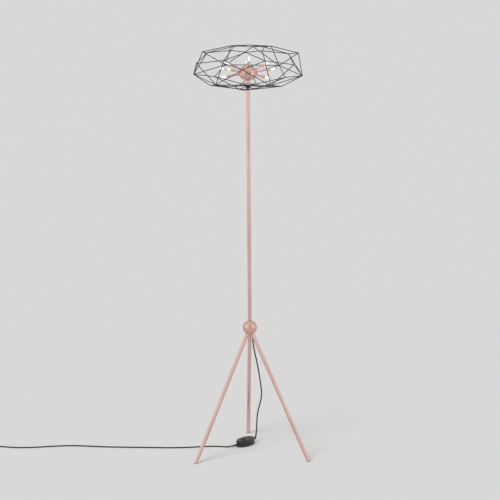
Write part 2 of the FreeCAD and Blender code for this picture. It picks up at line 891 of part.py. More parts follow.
def cord(name, points):
    path, radii = cord_path(points)
    tube = swept(path, points[0], points[1] - points[0], cord_diameter)
    report_cord(name, tube, path, radii, cord_diameter)
    return tube


coil_low = lying + coil_lift
coil_reverse = coil_turns_in + coil_turns_up / 2


def coil_point(turns):
    """A point of the coil after some turns: in on the floor layer, up, and out again."""
    radius = coil_radius - coil_step * (coil_reverse - abs(coil_reverse - turns))
    climb = min(max((turns - coil_turns_in) / coil_turns_up, 0), 1)
    height = coil_low + coil_step * (1 - math.cos(math.pi * climb)) / 2
    angle = -math.pi / 2 - 2 * math.pi * turns
    return coil_centre + V(radius * math.cos(angle), radius * math.sin(angle), height)


coil_total = coil_turns_in + coil_turns_up + coil_turns_out


def coil_way(turns):
    """The coil's direction after some turns, level at both ends."""
    step = 0.01
    way = coil_point(min(turns + step, coil_total)) - coil_point(max(turns - step, 0))
    return way.normalize()


def arc_from(start, way, end):
    """The arc that leaves one point in a direction and ends at another."""
    chord = end - start
    along = V(chord).normalize()
    side = (way - along * way.dot(along)).normalize()
    middle = (start + end) * 0.5 + side * (chord.Length / 2 * math.tan(way.getAngle(chord) / 2))
    return Part.Arc(start, middle, end).toShape()


def two_arcs(start, way, end, end_way):
    """Two arcs that meet smoothly, between two points with given directions."""
    chord = end - start
    spread = 2 * (1 - way.dot(end_way))
    lean = chord.dot(way + end_way)
    reach = (math.sqrt(lean ** 2 + spread * chord.dot(chord)) - lean) / spread
    meet = (start + end + (way - end_way) * reach) * 0.5
    second = arc_from(end, end_way * -1, meet)
    second.reverse()
    return [arc_from(start, way, meet), second]


def coil():
    """The put-away length as one unbroken tube, straight for one diameter at each end."""
    knots = [coil_total * i / round(4 * coil_total) for i in range(round(4 * coil_total) + 1)]
    first = coil_point(0) - coil_way(0) * cord_diameter
    edges = [Part.LineSegment(first, coil_point(0)).toShape()]
    for a, b in zip(knots, knots[1:]):
        edges += two_arcs(coil_point(a), coil_way(a), coil_point(b), coil_way(b))
    last = coil_point(coil_total) + coil_way(coil_total) * cord_diameter
    edges.append(Part.LineSegment(coil_point(coil_total), last).toShape())
    path = Part.Wire(edges)
    tube = swept(path, first, coil_way(0), cord_diameter)
    report_cord("coil", tube, path, [coil_radius - coil_step * coil_reverse], cord_diameter)
    samples = [coil_point(coil_total * i / 400) for i in range(401)]
    gap = min(samples[i].distanceToPoint(samples[j]) for i in range(401) for j in range(i + 60, 401))
    print("coil: least gap to itself", round(gap - cord_diameter, 2))
    return tube


def coil_tie():
    """A flat tie round the coil's strands on one side."""
    inside = coil_radius - coil_step * coil_reverse - cord_diameter / 2 - tie_slack
    outside = coil_radius + cord_diameter / 2 + tie_slack
    low = coil_low - cord_diameter / 2 - tie_slack
    high = coil_low + coil_step + cord_diameter / 2 + tie_slack
    hole = Part.makeBox(outside - inside, tie_width * 2, high - low, V(inside, -tie_width, low))
    band = Part.makeBox(outside - inside + 2 * tie_thickness, tie_width, high - low + 2 * tie_thickness,
                        V(inside - tie_thickness, -tie_width / 2, low - tie_thickness))
    band = band.makeFillet(tie_thickness * 0.95, [e for e in band.Edges if along_y(e)])
    tie = band.cut(hole)
    tie.rotate(V(0, 0, 0), UP, tie_turn)
    tie.translate(coil_centre)
    return tie


def along_y(edge):
    box = edge.BoundBox
    return box.XLength < 1e-6 and box.ZLength < 1e-6


coil_end = coil_point(coil_total) + coil_way(coil_total) * cord_diameter
plug_start = V(coil_end.x + plug_step.x, coil_end.y + plug_step.y, plug_thickness / 2 + plug_floor_gap)
plug_way = V(plug_heading).normalize()
lead_route = [coil_end, coil_end + coil_way(coil_total) * lead_run, plug_start - plug_way * lead_run, plug_start]


def plug_body():
    """The flat plug: a tapered neck with grip, and a body that widens to its face."""
    def section(at, width, thickness):
        half = thickness / 2
        flat = width / 2 - half
        right = V(flat, half, at)
        edges = [Part.LineSegment(V(-flat, half, at), right).toShape(),
                 Part.Arc(right, V(flat + half, 0, at), V(flat, -half, at)).toShape(),
                 Part.LineSegment(V(flat, -half, at), V(-flat, -half, at)).toShape(),
                 Part.Arc(V(-flat, -half, at), V(-flat - half, 0, at), V(-flat, half, at)).toShape()]
        return Part.Wire(edges)

    body_start = plug_neck_length
    body_middle = body_start + plug_length * plug_shoulder
    body_end = body_start + plug_length
    neck = Part.makeLoft([section(0, *plug_neck_start), section(body_start, *plug_neck_end)], True, True)
    body = Part.makeLoft([section(body_start, *plug_body_start), section(body_middle, *plug_body_middle),
                          section(body_end, plug_width, plug_thickness)], True, True)
    return plug_placed(neck.fuse(body).removeSplitter())


def plug_placed(shape):
    """Lay a piece drawn up the Z axis in the plug's place, flat on the floor."""
    moved = shape.copy()
    moved.rotate(V(0, 0, 0), V(1, 0, 0), -90)
    moved.rotate(V(0, 0, 0), UP, math.degrees(math.atan2(-plug_way.x, plug_way.y)))
    moved.translate(plug_start)
    return moved


def plug_pins():
    """Two round pins out of the plug's face, a little way inside it too."""
    face = plug_neck_length + plug_length
    pins = []
    for side in (-1, 1):
        at = V(side * plug_pin_spacing / 2, 0, face)
        pin = Part.makeCylinder(plug_pin_diameter / 2, plug_pin_length, at)
        end = [e for e in pin.Edges if e.BoundBox.ZMin > face + plug_pin_length - 1e-4]
        pins.append(plug_placed(pin.makeFillet(plug_pin_round, end)))
    return compound(pins)


def build():
    """Every node's shape about the pole's axis."""
    axes = [leg_axis(number) for number in range(leg_count)]
    nodes = {"leg_rear": leg(axes[0]), "leg_left": leg(axes[1]), "leg_right": leg(axes[2])}
    nodes["leg_plugs"] = compound(leg_plug(axis) for axis in axes)
    nodes["leg_studs"] = compound(leg_stud(axis) for axis in axes)
    nodes["foot_plugs"] = compound(foot_plug(axis) for axis in axes)
    nodes["hub_ball"] = hub_ball(axes)
    nodes["cord_grommet"] = grommet()

    nodes["pole"] = pole()
    low_plug = hub_height + pole_seat
    nodes["pole_plugs"] = compound([pole_plug(low_plug), pole_plug(pole_top - plug_grip)])
    low_rod = threaded_rod(hub_height + hub_chamber_radius + stud_overhang, low_plug + plug_grip - rod_setback)
    nodes["threaded_rods"] = compound([low_rod, threaded_rod(pole_top - plug_grip + rod_setback, rod_top)])
    nodes["cage_collar"] = stack_ring(collar_diameter, pole_top, plate_bottom)
    nodes["cage_hub_plate"] = hub_plate()
    nodes["cage_washer"] = stack_ring(collar_diameter, plate_bottom + wire_diameter, neck_bottom)
    nodes["neck_sleeve"] = stack_ring(neck_diameter, neck_bottom, neck_top)
    nodes["head_nut"] = head_nut()

    shell = ball_shell()
    nodes["burst_ball_lower"] = lower_half(shell)
    nodes["burst_ball_upper"] = upper_half(shell)
    nodes["terminal_block"] = terminal_block()
    ways = [(heading(turn, rise), reach) for turn, rise, reach in arms]
    nodes["burst_arms"] = compound(arm_tube(*way) for way in ways)
    nodes["lamp_holders"] = compound(lamp_holder(*way) for way in ways)
    nodes["ceramic_sockets"] = compound(ceramic_socket(*way) for way in ways)
    nodes["bulb_pins"] = compound(pin for way in ways for pin in bulb_pins(*way))
    for number, way in enumerate(ways, 1):
        nodes["bulb_%02d" % number] = bulb_capsule(*way)

    nodes.update(cage_nodes())

    nodes["unit_base"] = unit_base()
    nodes["unit_cover"] = unit_cover()
    nodes["unit_button"] = unit_button()
    nodes["unit_switch"] = unit_switch()
    nodes["unit_spring"] = button_spring()
    nodes["unit_board"] = unit_board()
    nodes["unit_transformer"] = unit_transformer()
    nodes["unit_screws"] = unit_screws()
    nodes["unit_pads"] = unit_pads()
    nodes["boot_in"] = boot(1)
    nodes["boot_out"] = boot(-1)

    boot_in_end, boot_in_way = boot_frame(1, 1)
    boot_out_end, boot_out_way = boot_frame(-1, 1)
    exit_point = cord_hole_at(grommet_foot)
    last_run = boot_in_end + boot_in_way * boot_in_run
    nodes["cord_drop"] = cord("cord_drop", [exit_point] + drop_route + [last_run, boot_in_end])
    along_floor = [V(x, y, lying) for x, y in floor_route]
    first_run = boot_out_end + boot_out_way * boot_out_run
    coil_start = coil_point(0) - coil_way(0) * cord_diameter
    before_coil = coil_start - coil_way(0) * coil_run
    nodes["cord_floor"] = cord("cord_floor",
                               [boot_out_end, first_run] + along_floor + [before_coil, coil_start])
    nodes["cord_coil"] = coil()
    nodes["cord_lead"] = cord("cord_lead", lead_route)
    nodes["cord_tie"] = coil_tie()
    nodes["plug_body"] = plug_body()
    nodes["plug_pins"] = plug_pins()
    return nodes


# What lies along the lead, and so doesn't count when the lamp is centred
lead_nodes = ["unit_base", "unit_cover", "unit_button", "unit_switch", "unit_spring", "unit_board",
              "unit_transformer", "unit_screws", "unit_pads", "boot_in", "boot_out", "cord_drop",
              "cord_floor", "cord_coil", "cord_lead", "cord_tie", "plug_body", "plug_pins"]


def centring_step(nodes):
    """The move that centres the lamp itself over the origin."""
    box = FreeCAD.BoundBox()
    for name, shape in nodes.items():
        if name not in lead_nodes:
            box.add(shape.optimalBoundingBox(False, False))
    return V(-box.Center.x, -box.Center.y, 0)


nodes = build()
step = centring_step(nodes)
print("pole's axis at", round(step.x, 2), round(step.y, 2), "nodes", len(nodes))
os.makedirs("parts", exist_ok=True)
for name, shape in nodes.items():
    shape.translate(step)
    shape.exportStep("parts/%s.step" % name)
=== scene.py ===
# %% [markdown]
# A wire cage floor lamp on a copper tripod.
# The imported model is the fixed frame: it says where every piece is. This lesson dresses it. The
# tubes, balls, wires, bulbs and leads get finer meshes than a workshop model has, and every
# piece gets a finish made of shader nodes. Nothing is moved away from where the frame has it.

# %% Load the frame
import json
import math

import bmesh
import bpy
from mathutils import Matrix, Vector


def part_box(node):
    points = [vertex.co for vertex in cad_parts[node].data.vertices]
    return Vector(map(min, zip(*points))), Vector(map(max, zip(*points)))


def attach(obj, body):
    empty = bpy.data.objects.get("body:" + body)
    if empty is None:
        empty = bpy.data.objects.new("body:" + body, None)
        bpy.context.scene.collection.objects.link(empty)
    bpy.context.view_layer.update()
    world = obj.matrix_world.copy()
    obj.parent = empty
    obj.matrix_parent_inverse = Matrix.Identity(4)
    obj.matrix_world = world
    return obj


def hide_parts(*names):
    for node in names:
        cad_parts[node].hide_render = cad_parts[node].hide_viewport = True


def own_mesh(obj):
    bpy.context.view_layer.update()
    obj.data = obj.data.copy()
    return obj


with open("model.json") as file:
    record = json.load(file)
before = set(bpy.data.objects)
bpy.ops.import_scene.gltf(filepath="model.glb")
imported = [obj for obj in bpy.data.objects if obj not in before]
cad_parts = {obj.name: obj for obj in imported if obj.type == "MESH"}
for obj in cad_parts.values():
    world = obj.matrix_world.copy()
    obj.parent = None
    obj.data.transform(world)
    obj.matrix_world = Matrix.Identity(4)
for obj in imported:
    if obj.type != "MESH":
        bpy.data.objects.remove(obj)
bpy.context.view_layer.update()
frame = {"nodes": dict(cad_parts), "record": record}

MM = 0.001
UP = Vector((0, 0, 1))
pole_low, pole_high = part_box("pole")
axis = Vector(((pole_low.x + pole_high.x) / 2, (pole_low.y + pole_high.y) / 2, 0))

# %% [markdown]
# The camera comes first, because what it sees decides where the lead's spare length may lie.
# The photograph was taken from far away with a long lens, from above and looking down, so the
# tripod's feet spread less on the picture than they would from close by. A camera is placed by
# its real distance and height from the pole's axis, in metres. It is rolled by nearly half a
# degree, because the pole leans that much in the picture.

# %% The camera
camera_step = Vector((0.003, -15.0, 4.874))
camera_pitch = 14.93
camera_roll = -0.45


def linked(name, data):
    """A new object in the scene."""
    made = bpy.data.objects.new(name, data)
    bpy.context.scene.collection.objects.link(made)
    return made


camera = linked("camera", bpy.data.cameras.new("camera"))
camera.data.lens = 271.44
camera.data.sensor_width = 36.0
camera.data.clip_end = 200
tilt = Matrix.Rotation(math.radians(90 - camera_pitch), 4, "X")
roll = Matrix.Rotation(math.radians(camera_roll), 4, "Z")
camera.matrix_world = Matrix.Translation(axis + camera_step) @ tilt @ roll
bpy.context.scene.camera = camera
print("camera at", tuple(round(c, 3) for c in camera.location))

# %% [markdown]
# Node trees are written as Python. One small class wraps a socket and overloads the operators,
# so that `0.2 + 0.1 * cloud` adds two Math nodes. Every other node comes from one method that
# takes the node's type, its settings and what goes into its sockets. The same two classes build
# the shader trees and the geometry trees, and a third one adds what a material needs.

# %% Sockets and node trees
def maths(operation, reflected=False):
    """The method behind an operator, or behind its reflected form, as in 1 - mask."""
    def method(self, other):
        first, second = (other, self) if reflected else (self, other)
        return self.graph.node("ShaderNodeMath", {0: first, 1: second}, operation=operation)
    return method


class Value:
    """A socket that carries a number. Sums on it add Math nodes."""

    __add__, __radd__ = maths("ADD"), maths("ADD", reflected=True)
    __sub__, __rsub__ = maths("SUBTRACT"), maths("SUBTRACT", reflected=True)
    __mul__, __rmul__ = maths("MULTIPLY"), maths("MULTIPLY", reflected=True)
    __truediv__, __rtruediv__ = maths("DIVIDE"), maths("DIVIDE", reflected=True)

    def __init__(self, graph, socket):
        self.graph = graph
        self.socket = socket


class Graph:
    """A node tree in the making."""

    def __init__(self, tree):
        self.tree = tree

    def node(self, kind, values=None, output=0, stops=None, **settings):
        """Add one node: its settings first, then a number, colour or link for each socket."""
        made = self.tree.nodes.new(kind)
        for name, setting in settings.items():
            setattr(made, name, setting)
        if stops:
            ramp = made.color_ramp
            ramp.elements.remove(ramp.elements[-1])
            ramp.elements[0].position, ramp.elements[0].color = stops[0]
            for position, tone in stops[1:]:
                ramp.elements.new(position).color = tone
        for key, value in (values or {}).items():
            self.feed(made.inputs[key], value)
        return Value(self, made.outputs[output]) if len(made.outputs) else None

    def feed(self, socket, value):
        if isinstance(value, list):
            for item in value:
                self.feed(socket, item)
        elif isinstance(value, Value):
            self.tree.links.new(value.socket, socket)
        else:
            socket.default_value = value


print("sockets and trees ready")


# %% Materials
class Finish(Graph):
    """A material. Patterns that follow a piece read its own coordinates, kept as an attribute."""

    def __init__(self, name):
        self.material = bpy.data.materials.new(name)
        self.material.use_nodes = True
        super().__init__(self.material.node_tree)
        self.tree.nodes.clear()

    def own_place(self):
        return self.node("ShaderNodeAttribute", output="Vector", attribute_name="own")

    def place(self):
        return self.node("ShaderNodeTexCoord", output="Object")

    def noise(self, where, scale, detail=3.0, stretch=(1, 1, 1)):
        """A cloudy number from 0 to 1, as many times a metre as its scale."""
        spread = self.node("ShaderNodeMapping", {"Vector": where, "Scale": stretch})
        return self.node("ShaderNodeTexNoise", {"Vector": spread, "Scale": scale, "Detail": detail}, "Fac")

    def sharpened(self, value, low, high):
        """The value spread so that low becomes 0 and high becomes 1."""
        return self.node("ShaderNodeMapRange", {"Value": value, "From Min": low, "From Max": high})

    def mix(self, share, first, second):
        return self.node("ShaderNodeMix", {0: share, 6: first, 7: second}, 2, data_type="RGBA")

    def bump(self, height, strength, depth):
        return self.node("ShaderNodeBump", {"Height": height, "Strength": strength, "Distance": depth})

    def surface(self, **sockets):
        """Close the material with one Principled shader."""
        named = {name.replace("_", " ").title(): value for name, value in sockets.items()}
        shader = self.node("ShaderNodeBsdfPrincipled", named)
        self.node("ShaderNodeOutputMaterial", {"Surface": shader})
        return self.material


def colour(red, green, blue):
    return (red, green, blue, 1.0)


print("material helper ready")

# %% [markdown]
# Copper is the lamp's main finish. The real tubes are copper plated and then polished along
# their length under a clear lacquer: they shine softly, with very fine lengthwise lines and
# slow, cloudy changes of tone. The balls are buffed on a wheel to a mirror, and their copper is
# redder. One function makes both, from two tones, a roughness and the strength of the lines.

# %% Copper
def copper(name, light, deep, roughness, line_strength):
    made = Finish(name)
    lines = made.noise(made.own_place(), scale=2200, detail=2, stretch=(1, 1, 0.012))
    cloud = made.noise(made.place(), scale=9, detail=4)
    smudge = made.sharpened(made.noise(made.own_place(), scale=60, detail=5), 0.5, 0.75)
    return made.surface(
        base_color=made.mix(made.sharpened(cloud, 0.3, 0.7), light, deep),
        metallic=1.0,
        roughness=roughness + 0.03 * cloud + 0.05 * smudge + line_strength * 0.1 * lines,
        normal=made.bump(lines, line_strength * 0.2, 0.02 * MM),
    )


copper_tube = copper("copper_tube", colour(0.84, 0.575, 0.525), colour(0.70, 0.465, 0.42),
                     roughness=0.16, line_strength=1.0)
copper_ball = copper("copper_ball", colour(0.82, 0.525, 0.455), colour(0.70, 0.43, 0.365),
                     roughness=0.03, line_strength=0.1)
print("copper finishes", copper_tube.name, copper_ball.name)

# %% [markdown]
# The cage and its fittings are powder coated. The powder is sprayed dry and melted in an oven,
# so it ends with a fine orange peel that breaks up the reflections. A small bump at the real
# size of that grain is enough. The foot unit's moulded plastic and the rubber pieces are black
# as well, with a grain of their own, so one function makes them all.

# %% Black coats, plastic and rubber
def black(name, shade, roughness, grain, depth):
    """A black surface: its shade, how rough, how many grains to a metre and how deep they are."""
    made = Finish(name)
    peel = made.noise(made.place(), grain)
    patch = made.noise(made.place(), scale=25, detail=4)
    pale = 2 * shade
    return made.surface(
        base_color=made.mix(patch, colour(shade, shade, shade * 1.05), colour(pale, pale, pale * 1.025)),
        roughness=roughness + 0.12 * patch,
        normal=made.bump(peel, 0.35, depth),
    )


wire_coat = black("wire_coat", 0.010, roughness=0.34, grain=900, depth=0.15 * MM)
fitting_coat = black("fitting_coat", 0.008, roughness=0.3, grain=1300, depth=0.08 * MM)
unit_plastic = black("unit_plastic", 0.010, roughness=0.3, grain=2600, depth=0.05 * MM)
button_plastic = black("button_plastic", 0.007, roughness=0.24, grain=3200, depth=0.03 * MM)
rubber = black("rubber", 0.014, roughness=0.62, grain=1800, depth=0.06 * MM)
print("black finishes", wire_coat.name, unit_plastic.name, rubber.name)

# %% [markdown]
# The lead has a soft black sheath, a little uneven from the die that it was drawn through, and
# it picks up some dust on the floor. It has no weave that would have to follow the lead, so
# plain object coordinates do: one noise for the unevenness and one for the dust.

# %% The lead's sheath
def sheath():
    made = Finish("cord_sheath")
    drawn = made.noise(made.place(), scale=700, detail=2)
    dust = made.sharpened(made.noise(made.place(), scale=120, detail=5), 0.55, 0.8)
    return made.surface(
        base_color=made.mix(dust, colour(0.011, 0.011, 0.012), colour(0.035, 0.034, 0.032)),
        roughness=0.42 + 0.15 * drawn + 0.1 * dust,
        normal=made.bump(drawn, 0.25, 0.05 * MM),
    )


cord_sheath = sheath()
print("sheath", cord_sheath.name)

# %% [markdown]
# Inside the lamp are plated steel, ceramic, a circuit board and a transformer. Hardly any of it
# shows, but each piece still gets the finish that it has on the bench. The metals and the
# ceramic are alike in one thing, a fine even grain, so one function makes them.

# %% Inner finishes
def grained(name, light, dark, roughness, spread, grain, detail, strength, depth, metallic=0.0):
    """A surface of fine grain: one noise changes its tone, its roughness and its height."""
    made = Finish(name)
    speck = made.noise(made.place(), grain, detail)
    return made.surface(
        base_color=made.mix(speck, light, dark),
        metallic=metallic,
        roughness=roughness + spread * speck,
        normal=made.bump(speck, strength, depth),
    )


def plated(name, light, dark, roughness):
    return grained(name, light, dark, roughness, spread=0.12, grain=1500, detail=3,
                   strength=0.1, depth=0.02 * MM, metallic=1.0)


def board_green():
    """Copper tracks under green varnish, as the cells of a square pattern."""
    made = Finish("board_green")
    tracks = made.node("ShaderNodeTexVoronoi", {"Vector": made.place(), "Scale": 260.0}, "Distance",
                       distance="MANHATTAN")
    edges = made.sharpened(tracks, 0.45, 0.55)
    return made.surface(
        base_color=made.mix(edges, colour(0.02, 0.13, 0.05), colour(0.05, 0.24, 0.09)),
        roughness=0.35 + 0.1 * tracks,
    )


def winding():
    """Turns of varnished wire, one over the other."""
    made = Finish("winding")
    turns = made.node("ShaderNodeTexWave", {"Vector": made.place(), "Scale": 400.0, "Distortion": 0.6}, "Fac",
                      bands_direction="Z")
    return made.surface(
        base_color=made.mix(turns, colour(0.16, 0.06, 0.03), colour(0.40, 0.19, 0.09)),
        roughness=0.3 + 0.2 * turns,
        metallic=0.6,
    )


zinc = plated("zinc", colour(0.62, 0.62, 0.60), colour(0.48, 0.48, 0.47), 0.3)
nickel = plated("nickel", colour(0.72, 0.70, 0.66), colour(0.60, 0.58, 0.55), 0.18)
ceramic = grained("ceramic", colour(0.80, 0.77, 0.70), colour(0.68, 0.64, 0.57), 0.55, spread=0.2,
                  grain=2500, detail=4, strength=0.3, depth=0.05 * MM)
inner_finishes = {"zinc_steel": zinc, "nickel": nickel, "ceramic": ceramic, "board": board_green(),
                  "core": winding(), "black_rubber": rubber, "black_plastic": unit_plastic}
print("inner finishes", len(inner_finishes))

# %% [markdown]
# The bulbs are small lit capsules. A lit one hides its own filament: what shows is a white
# glow, hottest in the middle of the capsule, and a duller foot. The tip is painted dimmer and
# copper-tinted, and so is the glass at the foot: a painted reflection of the copper cup, seen in
# the glass and through it as one looks past the filament's end. The glow is painted from
# the capsule's own height, so it follows each bulb however its arm points.

# %% Lit glass
capsule_length = 28.0


def lit_glass():
    made = Finish("lit_glass")
    height = made.node("ShaderNodeSeparateXYZ", {0: made.own_place()}, "Z") / (capsule_length * MM)
    # Both ramps hold painted reflection: the copper tint and weak glow at the tip, and the copper tint of the
    # glass at the foot, stand for the copper cup seen in and through the glass.
    glow_with_painted_tip = made.node("ShaderNodeValToRGB", {"Fac": height}, stops=[
        (0.00, colour(0.02, 0.015, 0.01)),
        (0.12, colour(0.25, 0.21, 0.17)),
        (0.22, colour(0.90, 0.85, 0.78)),
        (0.50, colour(1.00, 0.98, 0.95)),
        (0.76, colour(0.95, 0.92, 0.88)),
        (0.90, colour(0.24, 0.17, 0.14)),
        (1.00, colour(0.05, 0.03, 0.025)),
    ])
    glass_with_painted_cup_tint = made.node("ShaderNodeValToRGB", {"Fac": height}, stops=[
        (0.00, colour(0.42, 0.30, 0.26)),
        (0.20, colour(0.86, 0.84, 0.81)),
        (0.78, colour(0.86, 0.84, 0.81)),
        (0.93, colour(0.46, 0.34, 0.30)),
    ])
    return made.surface(
        base_color=glass_with_painted_cup_tint,
        roughness=0.08,
        emission_color=glow_with_painted_tip,
        emission_strength=0.45,
        coat_weight=0.5,
    )


bulb_glow = lit_glass()
print("lit glass", bulb_glow.name)

# %% [markdown]
# Most of the lamp's pieces are round. `turned` is the lathe: it takes a profile of radius and
# height points, in millimetres, and sweeps it round. It can soften the profile's corners first,
# because no real edge is sharp, and a small round edge is what catches the light. `lofted`
# joins rings of points, for what isn't round.

# %% Outlines and rings
def rounded(points, radius, closed=True, steps=4):
    """An outline with each corner softened. An open one keeps its two ends."""
    soft = []
    for number, point in enumerate(points):
        corner = Vector(point)
        if not closed and number in (0, len(points) - 1):
            soft.append(corner)
            continue
        back = Vector(points[number - 1]) - corner
        ahead = Vector(points[(number + 1) % len(points)]) - corner
        cut = min(radius, 0.45 * back.length, 0.45 * ahead.length)
        start = corner + back.normalized() * cut
        end = corner + ahead.normalized() * cut
        for step in range(steps + 1):
            t = step / steps
            soft.append(start * (1 - t) ** 2 + corner * (2 * t * (1 - t)) + end * t ** 2)
    return soft


def arc(wide, tall, first, last, steps, middle=(0, 0)):
    """Points on a circle or an ellipse, from one angle to another."""
    angles = [first + (last - first) * step / steps for step in range(steps + 1)]
    return [(middle[0] + wide * math.cos(a), middle[1] + tall * math.sin(a)) for a in angles]


def ring(height, wide, deep=None, sides=64, turn=0.0, shift=0.0):
    """Level points all round a circle, or round an ellipse where deep is given."""
    deep = wide if deep is None else deep
    angles = [turn + 2 * math.pi * side / sides for side in range(sides)]
    return [Vector(((shift + wide * math.cos(a)) * MM, deep * math.sin(a) * MM, height * MM)) for a in angles]


print("a soft square has", len(rounded([(0, 0), (1, 0), (1, 1), (0, 1)], 0.1)), "points")


# %% The loft and the lathe
def lofted(rings, closed=False, capped=True):
    """A skin through rings of points. A ring of one point is a tip."""
    bm = bmesh.new()
    rows = [[bm.verts.new(point) for point in points] for points in rings]
    pairs = list(zip(rows, rows[1:]))
    if closed:
        pairs.append((rows[-1], rows[0]))
    for low, high in pairs:
        count = max(len(low), len(high))
        for i in range(count):
            j = (i + 1) % count
            corners = [low[i % len(low)], low[j % len(low)], high[j % len(high)], high[i % len(high)]]
            kept = [v for n, v in enumerate(corners) if v not in corners[:n]]
            if len(kept) > 2:
                bm.faces.new(kept)
    if capped:
        bm.faces.new(rows[0])
        bm.faces.new(rows[-1])
    bmesh.ops.recalc_face_normals(bm, faces=bm.faces)
    return bm


def turned(profile, sides=64, soft=0.0, closed=True, steps=4):
    """A lathe shape: a closed profile makes a ring, an open one runs from tip to tip."""
    if soft:
        profile = rounded(profile, soft, closed, steps)
    rings = [ring(height, radius, sides=sides if radius else 1) for radius, height in profile]
    return lofted(rings, closed, capped=False)


def rod(radius, low, high, soft, sides=64, steps=4):
    """A solid round bar with soft ends."""
    return turned([(0, low), (radius, low), (radius, high), (0, high)], sides, soft, False, steps)


print("lathe and loft ready")


# %% Places and directions
def at(x, y, z):
    """A place given in millimetres about the pole's foot."""
    return axis + Vector((x, y, z)) * MM


def heading(turn, rise=0.0):
    """A direction from degrees round from the viewer and degrees up."""
    turn = math.radians(turn)
    rise = math.radians(rise)
    return Vector((math.cos(rise) * math.sin(turn), -math.cos(rise) * math.cos(turn), math.sin(rise)))


def upright(foot, way=UP):
    """The place of a shape whose Z axis runs along a direction."""
    return Matrix.Translation(foot) @ UP.rotation_difference(way).to_matrix().to_4x4()


print("the viewer is towards", tuple(heading(0)))

# %% [markdown]
# Each shape is drawn about its own Z axis, notes those coordinates in an attribute for its
# finish, and only then goes to its place. A piece is a shape with its finish: it rides on a body
# and stands for the nodes of the frame that it replaces. Each prints its name and its faces.

# %% From shapes to pieces
def placed(bm, place=Matrix.Identity(4)):
    """Note each point's own coordinates for the finish, and move the shape to its place."""
    own = bm.verts.layers.float_vector.new("own")
    for vertex in bm.verts:
        vertex[own] = vertex.co
    bm.transform(place)
    return bm


def mesh_of(bm, name):
    mesh = bpy.data.meshes.new(name)
    bm.to_mesh(mesh)
    bm.free()
    return mesh


def gathered(parts):
    """Several shapes as one."""
    whole = bmesh.new()
    for part in parts:
        mesh = mesh_of(part, "part")
        whole.from_mesh(mesh)
        bpy.data.meshes.remove(mesh)
    return whole


def smoothed(bm, sharp_angle=35):
    """Smooth shading, kept sharp over corners."""
    limit = math.radians(sharp_angle)
    for face in bm.faces:
        face.smooth = True
    for edge in bm.edges:
        edge.smooth = len(edge.link_faces) == 2 and edge.calc_face_angle(0) < limit
    return bm


def dressed(name, mesh, material, nodes=(), body="lamp"):
    """A finished mesh as a piece of the lamp."""
    mesh.materials.clear()
    mesh.materials.append(material)
    made = linked(name, mesh)
    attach(made, body)
    if nodes:
        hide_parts(*nodes)
    print(name, len(mesh.polygons), "faces")
    return made


def piece(name, bm, material, nodes=(), body="lamp"):
    """A shape as a piece of the lamp, with smooth shading."""
    return dressed(name, mesh_of(smoothed(bm), name), material, nodes, body)


print("piece helpers ready")

# %% [markdown]
# The lead is a fixed length of soft cable. It hangs from a bush under the hub ball, drops in a
# lazy curve behind the right leg into the foot unit, leaves it on the left and lies along the
# floor out of the picture. What the picture doesn't show is a small tied coil just outside it,
# and a plug. A rubber boot holds the lead on each side of the unit. Its middle line is an arc
# that leaves the unit straight and ends in the lead's own direction.

# %% Where the lead leaves and enters things
cord_diameter = 5.5 * MM
bush_turn = math.radians(32.2)
bush_offset = 12.7
bush_foot = 512.82
unit_centre = Vector((-22.5, 101.0, 0))
unit_turn = math.radians(46.5)
unit_half_length = 48.0
boot_height = 12.0
boot_length = 23.0
unit_way = Vector((math.cos(unit_turn), math.sin(unit_turn), 0))
boot_end_ways = {1: Vector((0.12, 0.13, 0.98)), -1: Vector((-0.96, 0.17, -0.22))}


def boot_frame(side, share):
    """A point of a boot's bent middle line, in millimetres about the pole, and the way there."""
    first = unit_way * side
    start = unit_centre + first * unit_half_length + UP * boot_height
    last = boot_end_ways[side].normalized()
    bend = first.angle(last)
    across = (last - first * first.dot(last)).normalized()
    angle = bend * share
    radius = boot_length / bend
    point = start + first * (radius * math.sin(angle)) + across * (radius * (1 - math.cos(angle)))
    return point, first * math.cos(angle) + across * math.sin(angle)


bush = at(bush_offset * math.cos(bush_turn), bush_offset * math.sin(bush_turn), bush_foot)
boot_in_end, boot_in_way = boot_frame(1, 1)
boot_out_end, boot_out_way = boot_frame(-1, 1)
print("bush", tuple(round(c, 4) for c in bush))

# %% [markdown]
# Each stretch of the lead is one smooth spline, guided by listed points, in metres about the
# pole's foot. The drop comes straight out of the bush, swings out behind the leg and goes down
# into the boot.

# %% The drop's route
run_into_boot = 24.75
drop_route = [
    (0.0110, 0.0074, 0.496), (0.0129, 0.0130, 0.472), (0.0166, 0.0215, 0.442),
    (0.0235, 0.0335, 0.405), (0.0320, 0.0480, 0.358), (0.0398, 0.0620, 0.306),
    (0.0456, 0.0750, 0.258), (0.0473, 0.0870, 0.219), (0.0400, 0.0970, 0.184),
    (0.0310, 0.1070, 0.148), (0.0270, 0.1210, 0.112), (0.0258, 0.1390, 0.078),
]
drop_points = [bush] + [axis + Vector(point) for point in drop_route]
drop_points += [at(*(boot_in_end + boot_in_way * run_into_boot)), at(*boot_in_end)]
print("points of the drop", len(drop_points))

# %% [markdown]
# The stretch on the floor ends in the coil and the plug. The coil's turns come from a rule: one
# layer winds in on the floor, half a turn climbs onto it, and the second layer winds out again.
# A spline cuts its corners, so the coil's points stand a little outside its turns.

# %% The coil
coil_centre = (-1128, 152)
coil_radius = 36.0
coil_step = 6.1
coil_turns_in = 1.5
coil_climb = 0.5
coil_turns_out = 1.25
coil_low = 4.4
coil_total = coil_turns_in + coil_climb + coil_turns_out
points_a_turn = 16


def coil_point(turns, outward=1.0):
    """A point of the coil, some turns after its start."""
    reverse = coil_turns_in + coil_climb / 2
    radius = (coil_radius - coil_step * (reverse - abs(reverse - turns))) * outward
    climb = min(max((turns - coil_turns_in) / coil_climb, 0), 1)
    height = coil_low + coil_step * (1 - math.cos(math.pi * climb)) / 2
    angle = -math.pi / 2 - 2 * math.pi * turns
    return at(coil_centre[0] + radius * math.cos(angle), coil_centre[1] + radius * math.sin(angle), height)


